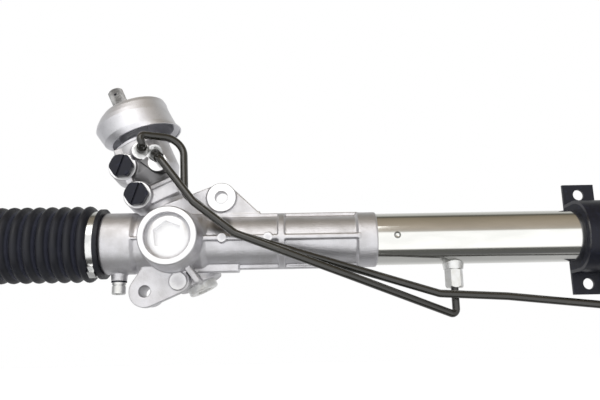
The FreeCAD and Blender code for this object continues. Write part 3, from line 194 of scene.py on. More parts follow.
class Graph:
    """A node tree that expressions on fields fill."""

    def __init__(self, tree):
        self.tree = tree
        tree.nodes.clear()

    def node(self, kind, settings=None, values=None, output=0):
        """Adds a node: its settings first, then the values or links of its sockets."""
        node = self.tree.nodes.new(kind)
        for key, value in (settings or {}).items():
            setattr(node, key, value)
        for key, value in (values or {}).items():
            self.feed(node.inputs[key], value)
        return Field(self, node.outputs[output])

    def feed(self, socket, value):
        if isinstance(value, Field):
            self.tree.links.new(value.socket, socket)
        elif socket.type == "RGBA":
            socket.default_value = (*value[:3], 1.0)
        else:
            socket.default_value = value

    def blend(self, first, second, share):
        """Colour that goes from first to second with share."""
        return self.node("ShaderNodeMix", {"data_type": "RGBA"}, {0: share, 6: first, 7: second}, output=2)

    def ramp(self, stops, share):
        """Colour that goes through (position, colour) stops with share."""
        node = self.tree.nodes.new("ShaderNodeValToRGB")
        elements = node.color_ramp.elements
        while len(elements) < len(stops):
            elements.new(1.0)
        for element, (position, colour) in zip(elements, stops):
            element.position = position
            element.color = (*colour, 1.0)
        self.feed(node.inputs["Fac"], share)
        return Field(self, node.outputs["Color"])


class Finish(Graph):
    """A node material round one Principled shader, with places measured in millimetres."""

    def __init__(self, name, **sockets):
        self.material = bpy.data.materials.new(name)
        self.material.use_nodes = True
        super().__init__(self.material.node_tree)
        self.shader = self.tree.nodes.new("ShaderNodeBsdfPrincipled")
        output = self.tree.nodes.new("ShaderNodeOutputMaterial")
        self.tree.links.new(self.shader.outputs["BSDF"], output.inputs["Surface"])
        place = self.node("ShaderNodeTexCoord", output="Object")
        self.place = self.node("ShaderNodeVectorMath", {"operation": "SCALE"}, {0: place, "Scale": 1 / MM})
        for socket, value in sockets.items():
            self.set(socket.replace("_", " "), value)

    def set(self, socket, value):
        self.feed(self.shader.inputs[socket], value)

    def paint(self, colour, factor, share):
        """Base colour that goes to a darker or lighter one with share."""
        self.set("Base Color", self.blend(colour, toned(colour, factor), share))

    def vector(self, operation, first, second=(0, 0, 0), output="Vector"):
        return self.node("ShaderNodeVectorMath", {"operation": operation}, {0: first, 1: second}, output)

    def noise(self, size, detail=3.0, stretch=(1, 1, 1)):
        """Noise whose blotches are about size millimetres across, longer where stretch is more than 1."""
        place = self.vector("MULTIPLY", self.place, tuple(1 / (size * factor) for factor in stretch))
        return self.node("ShaderNodeTexNoise", None,
                         {"Vector": place, "Scale": 1.0, "Detail": detail, "Roughness": 0.55})

    def away(self, point):
        return self.vector("SUBTRACT", self.place, Vector(point) / MM)

    def along(self, point, direction):
        """Distance along a direction from a point of the frame, in millimetres."""
        return self.vector("DOT_PRODUCT", self.away(point), Vector(direction), "Value")

    def around(self, point, direction):
        """Distance from an axis through a point of the frame, in millimetres."""
        across = self.vector("CROSS_PRODUCT", self.away(point), Vector(direction))
        return self.vector("LENGTH", across, output="Value")

    def milled(self, point, direction, radius):
        """1 on the flat face of the given radius round a point, and 0 elsewhere."""
        inside = 1.0 - self.around(point, direction).between(radius - 0.25, radius + 0.25)
        return inside * self.along(point, direction).between(-0.45, -0.10)

    def bump(self, height, depth):
        """Raises the surface by height times depth millimetres."""
        self.set("Normal", self.node("ShaderNodeBump", None,
                                     {"Height": height, "Distance": depth * MM, "Strength": 1.0}))


def toned(colour, factor):
    """The colour, darker or lighter by a factor."""
    return tuple(min(1.0, factor * channel) for channel in colour)


# Sizes and colours that a user may change

def colour_setting(name, description, default):
    return FloatVectorProperty(name=name, description=description, subtype="COLOR", default=default)


def length_setting(name, description, default, **limits):
    """A length whose default is given in millimetres."""
    return FloatProperty(name=name, description=description, default=default * MM, unit="LENGTH", **limits)


class CastingSettings(bpy.types.PropertyGroup):
    grid: length_setting("Grid", "Cell size that rounds the casting's edges", 0.65, min=0.4 * MM)
    rounding: IntProperty(name="Rounding", description="Smoothing passes over the casting",
                          default=5, min=0)
    colour: colour_setting("Cast colour", "Blasted aluminium", (0.70, 0.695, 0.72))
    # The stained colour, made much darker, is also the shade painted into the casting's creases and pockets
    shade: colour_setting("Stained colour", "Duller patches of the casting", (0.56, 0.552, 0.56))
    machined: colour_setting("Machined colour", "Milled and turned faces", (0.90, 0.90, 0.90))
    grain: length_setting("Grain", "Size of the blasted grain", 0.7)


class MetalSettings(bpy.types.PropertyGroup):
    turned: colour_setting("Bell colour", "Turned aluminium of the bell", (0.82, 0.82, 0.85))
    zinc: colour_setting("Zinc colour", "Plated plugs, nuts and clamps", (0.78, 0.785, 0.78))
    tube: colour_setting("Tube colour", "Plated cylinder tube", (0.84, 0.84, 0.81))
    steel: colour_setting("Steel colour", "Ground steel", (0.50, 0.50, 0.50))
    forged: colour_setting("Forged colour", "Forged and oiled steel", (0.22, 0.22, 0.22))
    line: colour_setting("Line colour", "Dark coated pipes", (0.012, 0.011, 0.007))


class RubberSettings(bpy.types.PropertyGroup):
    bellows: colour_setting("Bellows colour", "Dark blue-black rubber", (0.0050, 0.0060, 0.0115))
    # This colour is mostly a sheen painted round the valleys, and a little random dust
    dust_and_sheen: colour_setting("Dust colour", "Dust in the bellows' valleys", (0.085, 0.090, 0.125))
    black: colour_setting("Black colour", "Black plastic and seals", (0.0060, 0.0070, 0.0150))
    folds: IntProperty(name="Folds", description="Convolutions of one bellows", default=18, min=2)
    pitch: length_setting("Fold pitch", "Distance from crest to crest", 11.7)
    first_crest: length_setting("First crest", "Distance from the lip to the first crest", 14.2)
    crest: length_setting("Crest radius", "Radius of the full folds", 35.4)
    valley: length_setting("Valley radius", "Radius between the full folds", 28.5)
    skin: length_setting("Skin", "Wall of the rubber", 3.0)
    barrel: length_setting("Barrel radius", "Seat of the left bellows", 26.5)
    segments: IntProperty(name="Segments", description="Faces round one bellows", default=96, min=12)


class StageSettings(bpy.types.PropertyGroup):
    floor_drop: length_setting("Floor drop", "Distance from the origin down to the floor", 322.6)
    floor_colour: colour_setting("Floor colour", "Plain pale floor", (0.86, 0.86, 0.86))
    key: FloatProperty(name="Key light", description="Power of the front light", default=5.0, unit="POWER")
    sky: FloatProperty(name="Room light", description="Strength of the light from all round", default=0.75)


# Mesh helpers

def basis(point, direction):
    """Frame at a point whose Z runs along a direction."""
    turn = Vector(direction).to_track_quat("Z", "Y")
    return Matrix.Translation(Vector(point)) @ turn.to_matrix().to_4x4()


def new_piece(name, mesh, body, finish, replaced=()):
    """Links a finished mesh and makes it ride on a body, if one is given."""
    mesh.name = name
    mesh.materials.clear()
    mesh.materials.append(finish.material)
    piece = bpy.data.objects.new(name, mesh)
    bpy.context.scene.collection.objects.link(piece)
    if replaced:
        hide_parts(*replaced)
    if body:
        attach(piece, body)
    return piece


def shaded(mesh, angle=35.0):
    """Smooth shading that keeps corners sharper than the angle."""
    mesh.shade_smooth()
    mesh.set_sharp_from_angle(angle=math.radians(angle))
    return mesh


def lathe(profile, place, segments=64, wave=None):
    """Closed surface of revolution about place's Z from (radius, height) points in millimetres.
    wave(turn, radius, height) may change a point's radius."""
    mesh_data = bmesh.new()
    rings = []
    for radius, height in profile:
        ring = []
        for step in range(segments):
            turn = 2 * math.pi * step / segments
            reach = wave(turn, radius, height) if wave else radius
            point = Vector((reach * math.cos(turn), reach * math.sin(turn), height)) * MM
            ring.append(mesh_data.verts.new(place @ point))
        rings.append(ring)
    for lower, upper in zip(rings, rings[1:] + rings[:1]):
        for step in range(segments):
            after = (step + 1) % segments
            mesh_data.faces.new((lower[step], lower[after], upper[after], upper[step]))
    bmesh.ops.remove_doubles(mesh_data, verts=mesh_data.verts, dist=1e-7)
    bmesh.ops.recalc_face_normals(mesh_data, faces=mesh_data.faces)
    mesh = bpy.data.meshes.new("lathe")
    mesh_data.to_mesh(mesh)
    mesh_data.free()
    return mesh


def with_modifiers(mesh, modifiers):
    """The mesh after a list of (type, settings) modifiers."""
    carrier = bpy.data.objects.new("carrier", mesh)
    bpy.context.scene.collection.objects.link(carrier)
    for kind, settings in modifiers:
        modifier = carrier.modifiers.new(kind.lower(), kind)
        for key, value in settings.items():
            setattr(modifier, key, value)
    bpy.context.view_layer.update()
    seen = carrier.evaluated_get(bpy.context.evaluated_depsgraph_get())
    result = bpy.data.meshes.new_from_object(seen)
    bpy.data.objects.remove(carrier)
    return result


def repaint(finish, *nodes):
    """Gives CAD nodes a finish."""
    for name in nodes:
        mesh = NODES[name].data
        mesh.materials.clear()
        mesh.materials.append(finish.material)


def disc_of(outer, inner=0.0, thickness=0.6, proud=0.03, chamfer=0.3):
    """Profile of a thin disc or ring that stands slightly proud of the face at height 0."""
    low, high = proud - thickness, proud
    return [(outer, low), (outer, high - chamfer), (outer - chamfer, high), (inner + chamfer, high),
            (inner, high - chamfer), (inner, low)]


# Finishes

def cast_aluminium(settings):
    """Blasted casting, with the flat faces that are milled bright, and shade painted into its creases and pockets.
    """
    finish = Finish("cast aluminium", Metallic=1.0)
    blotch = finish.noise(16.0, detail=4.0)
    stain = finish.noise(55.0, detail=2.0)
    grain = finish.noise(settings.grain / MM, detail=2.0)
    share = (blotch * 0.6 + stain * 0.5).between(0.42, 0.72)
    pointed = finish.node("ShaderNodeNewGeometry", output="Pointiness")
    cast = finish.blend(settings.colour, settings.shade, share)
    # Painted shade: creases of low pointiness and the listed pockets go towards a dark copy of the stained colour
    dull = (1.0 - pointed.between(0.42, 0.485)) * 0.6
    for point, radius in SHADED_POCKETS:
        dull = dull.greater(0.9 - 0.9 * finish.around(point, TO_VIEWER).between(0.5 * radius, radius))
    cast = finish.blend(cast, toned(settings.shade, 0.32), dull)
    bright = pointed.between(0.515, 0.56) * 0.45
    for point, direction, radius in MILLED:
        bright = bright.greater(finish.milled(point, direction, radius))
    finish.set("Base Color", finish.blend(cast, settings.machined, bright))
    finish.set("Roughness", 0.38 + 0.14 * grain + 0.08 * share - 0.16 * bright)
    pits = finish.noise(2.6).between(0.34, 0.5)
    finish.bump((grain * 0.7 + pits * 0.3) * (1.0 - 0.9 * bright), 0.16)
    return finish


def machined_aluminium(settings, centre):
    """Bright milled face with rings round its centre."""
    finish = Finish("machined aluminium", Metallic=1.0)
    rings = (finish.around(centre, TO_VIEWER) * (2 * math.pi / 0.45)).sine()
    haze = finish.noise(5.0)
    finish.set("Base Color", finish.blend(settings.machined, settings.colour, haze * 0.5))
    finish.set("Roughness", 0.27 + 0.10 * haze)
    finish.bump(rings, 0.006)
    return finish


def turned_aluminium(settings, point, direction):
    """Satin turned metal with fine lines round an axis and a few handling marks."""
    finish = Finish("turned aluminium", Metallic=1.0)
    lines = (finish.along(point, direction) * (2 * math.pi / 0.55)).sine()
    broad = finish.noise(24.0)
    specks = finish.noise(1.3, detail=1.0).between(0.66, 0.74)
    base = finish.blend(settings.turned, toned(settings.turned, 0.80), broad.between(0.4, 0.7) * 0.6)
    finish.set("Base Color", finish.blend(base, (0.36, 0.36, 0.36), specks * 0.35))
    finish.set("Roughness", 0.44 + 0.14 * broad)
    finish.bump(lines * 0.5 + finish.noise(0.6, detail=2.0), 0.02)
    return finish


def zinc_plate(settings, name="zinc plate", metallic=1.0):
    """Bright plating with a slightly warm cloud in it."""
    finish = Finish(name, Metallic=metallic)
    cloud = finish.noise(7.0, detail=4.0)
    warm = tuple(channel * tint for channel, tint in zip(settings.zinc, (0.91, 0.90, 0.87)))
    finish.set("Base Color", finish.blend(settings.zinc, warm, cloud.between(0.4, 0.65)))
    finish.set("Roughness", 0.30 + 0.16 * cloud)
    finish.bump(finish.noise(0.5, detail=2.0), 0.02)
    return finish


def polished_band(settings):
    """Bright strip steel of the clamps."""
    finish = Finish("polished band", Metallic=1.0)
    cloud = finish.noise(9.0)
    finish.paint(settings.zinc, 0.82, cloud.between(0.4, 0.65))
    finish.set("Roughness", 0.16 + 0.08 * cloud)
    finish.bump(finish.noise(0.4, detail=2.0), 0.006)
    return finish


def line_nut_finish(settings, name, point, direction):
    """Plated hexagon at the port's face, and the dark coated sleeve beyond it."""
    finish = Finish(name)
    coated = finish.along(point, direction).between(*NUT_SLEEVE)
    cloud = finish.noise(4.0)
    finish.set("Base Color", finish.blend(settings.zinc, settings.line, coated))
    finish.set("Metallic", 1.0 - 0.8 * coated)
    finish.set("Roughness", 0.26 + 0.12 * cloud)
    finish.bump(finish.noise(0.4, detail=2.0), 0.02)
    return finish


def drawn_tube(settings):
    """Plated tube, drawn lengthwise, with shade painted round the edge of its staked dimple."""
    finish = Finish("drawn tube", Metallic=1.0)
    lines = finish.noise(0.5, detail=2.0, stretch=(120, 1, 1))
    haze = finish.noise(20.0, stretch=(4, 1, 1))
    reach = finish.around(DIMPLE, TO_VIEWER)
    # Painted shade: a dark ring round the staked dimple
    dimple_edge_shade = reach.between(*DIMPLE_SHADE_RADII[:2]) * (1.0 - reach.between(*DIMPLE_SHADE_RADII[2:]))
    plated = finish.blend(settings.tube, toned(settings.tube, 0.90), haze.between(0.4, 0.65))
    finish.set("Base Color", finish.blend(plated, (0.10, 0.10, 0.09), dimple_edge_shade * 0.85))
    finish.set("Roughness", 0.10 + 0.05 * haze)
    finish.bump(lines, 0.004)
    return finish


def coated_line(settings):
    """Dark satin coating of the pipes."""
    finish = Finish("coated line", Coat_Weight=0.7, Coat_Roughness=0.14)
    wear = finish.noise(6.0, detail=4.0, stretch=(2, 1, 1)).between(0.62, 0.74)
    finish.set("Base Color", finish.blend(settings.line, (0.060, 0.055, 0.040), wear * 0.5))
    finish.set("Roughness", 0.20 + 0.10 * finish.noise(1.2))
    finish.bump(finish.noise(0.45, detail=2.0), 0.02)
    return finish


def ground_steel(settings):
    """Ground steel of the inner parts."""
    finish = Finish("ground steel", Metallic=1.0)
    haze = finish.noise(9.0, detail=4.0)
    finish.paint(settings.steel, 0.75, haze.between(0.42, 0.66))
    finish.set("Roughness", 0.24 + 0.12 * haze)
    finish.bump(finish.noise(0.3, detail=2.0, stretch=(1, 6, 6)), 0.006)
    return finish


def serrated_steel(settings, top):
    """Dark ground shaft with fine serrations up to top, in millimetres along the pinion axis."""
    finish = Finish("serrated steel", Metallic=1.0)
    haze = finish.noise(9.0, detail=4.0)
    finish.paint(settings.steel, 0.6, haze.between(0.42, 0.66))
    finish.set("Roughness", 0.30 + 0.12 * haze)
    turn = finish.along(PINION_POINT, ACROSS_PINION).angle(finish.along(PINION_POINT, TO_VIEWER))
    start = top - SERRATION_LENGTH
    toothed = finish.along(PINION_POINT, PINION_AXIS).between(start, start + SERRATION_RUNOUT)
    finish.bump((turn * SERRATIONS).sine() * toothed, 0.28)
    return finish


def threaded_steel(settings, name, ball, outwards):
    """Forged tie rod whose plated outer end is threaded."""
    finish = Finish(name, Metallic=1.0)
    scale = finish.noise(3.5, detail=5.0)
    reach = finish.along(ball, outwards)
    threaded = reach.between(*ROD_THREAD)
    rough = finish.blend(settings.forged, toned(settings.forged, 1.9), scale.between(0.5, 0.68))
    finish.set("Base Color", finish.blend(rough, settings.zinc, threaded * 0.8))
    finish.set("Roughness", 0.42 + 0.2 * scale - 0.14 * threaded)
    turn = finish.along(ball, (0, 1, 0)).angle(finish.along(ball, (0, 0, 1)))
    thread = (reach * (2 * math.pi / ROD_THREAD_PITCH) + turn).sine()
    finish.bump(thread * threaded * 0.42 + scale * (1.0 - threaded) * 0.03, 1.0)
    return finish


def forged_steel(settings):
    """Dark forged steel with scale on it."""
    finish = Finish("forged steel", Metallic=1.0)
    scale = finish.noise(3.5, detail=5.0)
    finish.paint(settings.forged, 1.9, scale.between(0.5, 0.68))
    finish.set("Roughness", 0.42 + 0.2 * scale)
    finish.bump(scale * 0.6 + finish.noise(0.6) * 0.4, 0.06)
    return finish


def bellows_rubber(settings):
    """Moulded rubber with a little random dust, and a lighter blue-grey sheen painted round its valleys."""
    finish = Finish("bellows rubber", Specular_IOR_Level=0.4, Coat_Weight=0.05, Coat_Roughness=0.4)
    dust_and_sheen = finish.noise(11.0, detail=5.0).between(0.42, 0.72)
    fold = finish.node("ShaderNodeAttribute", {"attribute_name": "fold"}, output="Fac")
    # Painted sheen: the band round each valley takes most of the lighter blue-grey colour, and the noise adds a
    # little dust
    painted_valley_sheen = 1.0 - fold.between(0.0, 0.32)
    finish.set("Base Color", finish.blend(settings.bellows, settings.dust_and_sheen, dust_and_sheen * 0.07 + painted_valley_sheen * 0.75))
    finish.set("Roughness", 0.46 + 0.2 * dust_and_sheen)
    finish.bump(finish.noise(0.5), 0.03)
    return finish


def black_moulding(settings, name="black moulding", roughness=0.38):
    """Black plastic, rubber or paint."""
    finish = Finish(name, Specular_IOR_Level=0.3)
    haze = finish.noise(4.0, detail=4.0)
    finish.paint(settings.black, 2.2, haze.between(0.5, 0.75))
    finish.set("Roughness", roughness + 0.14 * haze)
    finish.bump(finish.noise(0.35, detail=2.0), 0.02)
    return finish


def white_moulding():
    """Off-white bearing plastic."""
    finish = Finish("white moulding", Subsurface_Weight=0.05)
    finish.set("Base Color", finish.blend((0.74, 0.72, 0.66), (0.62, 0.59, 0.50), finish.noise(5.0)))
    finish.set("Roughness", 0.42 + 0.1 * finish.noise(1.5))
    finish.bump(finish.noise(0.4), 0.01)
    return finish


# Operators

class STEERING_OT_stage(bpy.types.Operator):
    """Set the camera, the pale floor and the soft studio light"""
    bl_idname = "steering.stage"
    bl_label = "Stage"

    CAMERA_AT = (0.0711, -0.5891, -0.1358)
    CAMERA_TURN = (math.radians(102.86), math.radians(1.028), 0.0)
    LENS = 38.1
    FLOOR_SIZE = 12.0
    FLOOR_GLOW = (0.45, 0.45, 0.45)
    KEY_AT = (-0.25, -0.95, 0.75)
    KEY_AIM = (0.1, 0.0, 0.0)
    KEY_SIZE = (1.1, 0.7)

    def execute(self, context):
        settings = context.scene.steering_stage
        context.scene.view_settings.view_transform = "Standard"
        self.add_camera(context)
        self.add_floor(context, settings)
        self.add_room(context, settings)
        self.add_key(context, settings)
        return {"FINISHED"}

    def add_camera(self, context):
        """The photograph was taken square to the rack from a little below its axis."""
        lens = bpy.data.cameras.new("camera")
        lens.sensor_fit = "HORIZONTAL"
        lens.sensor_width = 36.0
        lens.lens = self.LENS
        lens.clip_end = 50.0
        camera = bpy.data.objects.new("camera", lens)
        camera.location = self.CAMERA_AT
        camera.rotation_euler = self.CAMERA_TURN
        context.scene.collection.objects.link(camera)
        context.scene.camera = camera

    def add_floor(self, context, settings):
        """Pale floor that keeps its shadow and stays out of reflections."""
        middle = CAD_BOX[0][0] * 0.5 + CAD_BOX[1][0] * 0.5
        bpy.ops.mesh.primitive_grid_add(x_subdivisions=2, y_subdivisions=2, size=self.FLOOR_SIZE,
                                        location=(middle, 0.0, -settings.floor_drop))
        floor = context.object
        floor.name = "floor"
        finish = Finish("pale floor", Roughness=0.8, Emission_Strength=1.0)
        finish.paint(settings.floor_colour, 0.97, finish.noise(40.0, detail=4.0))
        seen = finish.node("ShaderNodeLightPath", output="Is Camera Ray")
        finish.set("Emission Color", finish.blend((0.0, 0.0, 0.0), self.FLOOR_GLOW, seen))
        finish.set("Alpha", 1.0 - finish.node("ShaderNodeLightPath", output="Is Glossy Ray"))
        floor.data.materials.append(finish.material)

    def add_room(self, context, settings):
        """White background to the camera, and a soft room in reflections: a bright front, a wooden
        ceiling, a dark strip low in front and a pale floor."""
        world = bpy.data.worlds.new("room")
        context.scene.world = world
        world.use_nodes = True
        room = Graph(world.node_tree)
        towards = room.node("ShaderNodeTexCoord", output="Generated")
        x, y, z = (room.node("ShaderNodeSeparateXYZ", None, {0: towards}, output=axis) for axis in "XYZ")
        height = z.angle(y * -1.0) / (2 * math.pi) + 0.5
        side = x.maths("ABSOLUTE", x).between(0.55, 0.93)
        reflected = room.blend(room.ramp(ROOM_BANDS, height), ROOM_SIDES, side)
        glossy, camera, clear = (room.node("ShaderNodeLightPath", output="Is %s Ray" % ray)
                                 for ray in ("Glossy", "Camera", "Transmission"))
        light = room.blend((settings.sky,) * 3, reflected, glossy)
        colour = room.blend(light, (1.0, 1.0, 1.0), camera.greater(clear))
        background = room.node("ShaderNodeBackground", None, {"Color": colour})
        output = room.tree.nodes.new("ShaderNodeOutputWorld")
        room.feed(output.inputs["Surface"], background)

    def add_key(self, context, settings):
        """Large soft light from the upper left in front."""
        lamp = bpy.data.lights.new("key", "AREA")
        lamp.shape = "RECTANGLE"
        lamp.size, lamp.size_y = self.KEY_SIZE
        lamp.energy = settings.key
        key = bpy.data.objects.new("key", lamp)
        key.location = self.KEY_AT
        key.rotation_euler = (Vector(self.KEY_AIM) - key.location).to_track_quat("-Z", "Y").to_euler()
        context.scene.collection.objects.link(key)


class STEERING_OT_casting(bpy.types.Operator):
    """Round the gear housing's edges like a casting and lay the machined faces on it"""
    bl_idname = "steering.casting"
    bl_label = "Gear housing"

    WELD_GAP = 0.01
    SMOOTHING = 0.5
    FACES_KEPT = 0.35
    YOKE_RING = 5.0
    YOKE_FIT = 0.02
    LUG_RING = 7.5
    HOSE_FACE_R = 12.8
    HOSE_BORE_R = 9.0

    def execute(self, context):
        settings = context.scene.steering_casting
        finish = cast_aluminium(settings)
        rounded = with_modifiers(NODES["gear_housing"].data.copy(), [
            ("WELD", {"merge_threshold": self.WELD_GAP * MM}),
            ("REMESH", {"mode": "VOXEL", "voxel_size": settings.grid}),
            ("SMOOTH", {"factor": self.SMOOTHING, "iterations": settings.rounding}),
            ("DECIMATE", {"ratio": self.FACES_KEPT})])
        shaded(rounded, angle=60)
        new_piece("housing_casting", rounded, "housing", finish, ["gear_housing"])
        for name, point, outer, inner in self.faces():
            mesh = shaded(lathe(disc_of(outer, inner), basis(point, TO_VIEWER)))
            bright = machined_aluminium(settings, point)
            new_piece("machined_" + name, mesh, "housing", bright)
        for name, (point, radius) in PADS.items():
            mesh = shaded(lathe(disc_of(radius, thickness=3.0, proud=0.1), basis(point, TO_VIEWER)))
            new_piece("cast_pad_" + name, mesh, "housing", finish)
        return {"FINISHED"}

    def faces(self):
        """Name, centre and radii of each face that is milled or turned after casting."""
        low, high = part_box("yoke_plug")
        plug_r = (high.x - low.x) / 2 / MM
        boss = Vector(((low.x + high.x) / 2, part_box("gear_housing")[0].y, (low.z + high.z) / 2))
        bore = MOUNTS["upper_mounting_bore"]
        bore_r = bore["dims"]["r_mm"]
        lug = Vector(bore["pos_m"]) + TO_VIEWER * bore["dims"]["length_mm"] * MM
        hoses = [(name, Vector(MOUNTS[name]["pos_m"]), self.HOSE_FACE_R, self.HOSE_BORE_R)
                 for name in ("upper_hose_port", "lower_hose_port")]
        return [("yoke_boss", boss, plug_r + self.YOKE_RING, plug_r + self.YOKE_FIT), *hoses,
                ("upper_lug", lug, bore_r + self.LUG_RING, bore_r)]


class STEERING_OT_tower(bpy.types.Operator):
    """Finish the bell, the shaft, the plugs and the pinion train"""
    bl_idname = "steering.tower"
    bl_label = "Valve tower"

    BELL_LEAN = math.radians(18.8)
    SERRATION_TOP = 13.0
    ACROSS_FLATS = 24.0
    SOCKET_TURN = math.radians(8.0)
    SOCKET_DEPTH = 7.0
    PLUG_CHAMFER = 1.0
    RIM_DROP = 1.9
    DOME_DROP = 1.4
    CROWN_WIDTH = 2.1

    def execute(self, context):
        metal = context.scene.steering_metal
        rubber = context.scene.steering_rubber
        bell = (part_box("bell_cover")[0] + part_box("bell_cover")[1]) / 2
        bell_axis = (-math.sin(self.BELL_LEAN), 0, math.cos(self.BELL_LEAN))
        repaint(turned_aluminium(metal, bell, bell_axis), "bell_cover")
        repaint(zinc_plate(metal, "dull zinc plate", 0.35), "bottom_plug")
        repaint(line_nut_finish(metal, "return nut", RETURN_FACE, RETURN_AIM), "return_line_nut")
        repaint(line_nut_finish(metal, "feed nut", FEED_FACE, FEED_AIM), "feed_line_nut")
        self.add_yoke_plug(context.scene.steering_casting)
        repaint(black_moulding(rubber), "upper_port_plug", "lower_port_plug")
        repaint(black_moulding(rubber, "seal rubber", 0.55), "shaft_seal", "vent_washer")
        repaint(zinc_plate(metal), "vent_plug")
        repaint(ground_steel(metal), "pinion", "valve_sleeve", "torsion_bar", "needle_bush", "yoke_springs",
                "bearing_outer_race", "bearing_balls", "bearing_inner_race")
        repaint(white_moulding(), "sleeve_seal_rings", "support_yoke")
        shaft = (Vector(MOUNTS["column_shaft"]["pos_m"]) - PINION_POINT).dot(PINION_AXIS) / MM
        repaint(serrated_steel(metal, shaft + self.SERRATION_TOP), "input_shaft")
        repaint(black_moulding(rubber, "dark pin", 0.4), "torsion_bar_pin")
        return {"FINISHED"}

    def add_yoke_plug(self, casting):
        """Screwed plug with a domed face and a hexagon socket."""
        low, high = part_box("yoke_plug")
        front = Vector(((low.x + high.x) / 2, low.y, (low.z + high.z) / 2))
        place = basis(front, TO_VIEWER)
        outer, depth = (high.x - low.x) / 2 / MM, (high.y - low.y) / MM
        socket, edge = self.ACROSS_FLATS / 2, self.PLUG_CHAMFER
        crown = socket + self.CROWN_WIDTH
        profile = [(0.0, -depth), (outer - edge, -depth), (outer, edge - depth), (outer, -self.RIM_DROP),
                   (outer - 0.6, -self.DOME_DROP), (crown + 0.5, -0.1), (crown, 0.0), (socket, -0.2),
                   (socket, 0.1 - self.SOCKET_DEPTH), (0.0, -self.SOCKET_DEPTH)]
        mesh = lathe(profile, place, segments=96, wave=self.hexagon(place, socket))
        bright = machined_aluminium(casting, front)
        new_piece("domed_yoke_plug", shaded(mesh, angle=30), "housing", bright, ["yoke_plug"])

    def hexagon(self, place, socket):
        """Makes the rings at the socket's radius hexagonal and leaves the others round."""
        flat = Vector((math.cos(self.SOCKET_TURN), 0, math.sin(self.SOCKET_TURN)))
        flat = place.to_3x3().inverted() @ flat
        flat_at = math.atan2(flat.y, flat.x)

        def wave(turn, radius, height):
            if radius != socket:
                return radius
            off = (turn - flat_at + math.pi / 6) % (math.pi / 3) - math.pi / 6
            return radius / math.cos(off)
        return wave


class STEERING_OT_cylinder(bpy.types.Operator):
    """Finish the cylinder tube, its ports and its inner parts"""
    bl_idname = "steering.cylinder"
    bl_label = "Hydraulic cylinder"

    def execute(self, context):
        metal = context.scene.steering_metal
        rubber = context.scene.steering_rubber
        repaint(drawn_tube(metal), "cylinder_tube")
        repaint(zinc_plate(metal), "left_weld_boss", "right_weld_boss", "left_port_nut", "right_port_nut")
        repaint(turned_aluminium(metal, RACK_LINE, (1, 0, 0)), "seal_carrier", "outer_rack_bush")
        repaint(black_moulding(rubber, "rack seal rubber", 0.5), "inner_rack_seal", "outer_rack_seal")
        repaint(ground_steel(metal), "rack_bar", "piston", "piston_clips", "tube_retainer")
        repaint(white_moulding(), "piston_ring")
        return {"FINISHED"}


class STEERING_OT_lines(bpy.types.Operator):
    """Finish the two coated pipes"""
    bl_idname = "steering.lines"
    bl_label = "Pipes"

    def execute(self, context):
        repaint(coated_line(context.scene.steering_metal), "return_line", "feed_line")
        return {"FINISHED"}


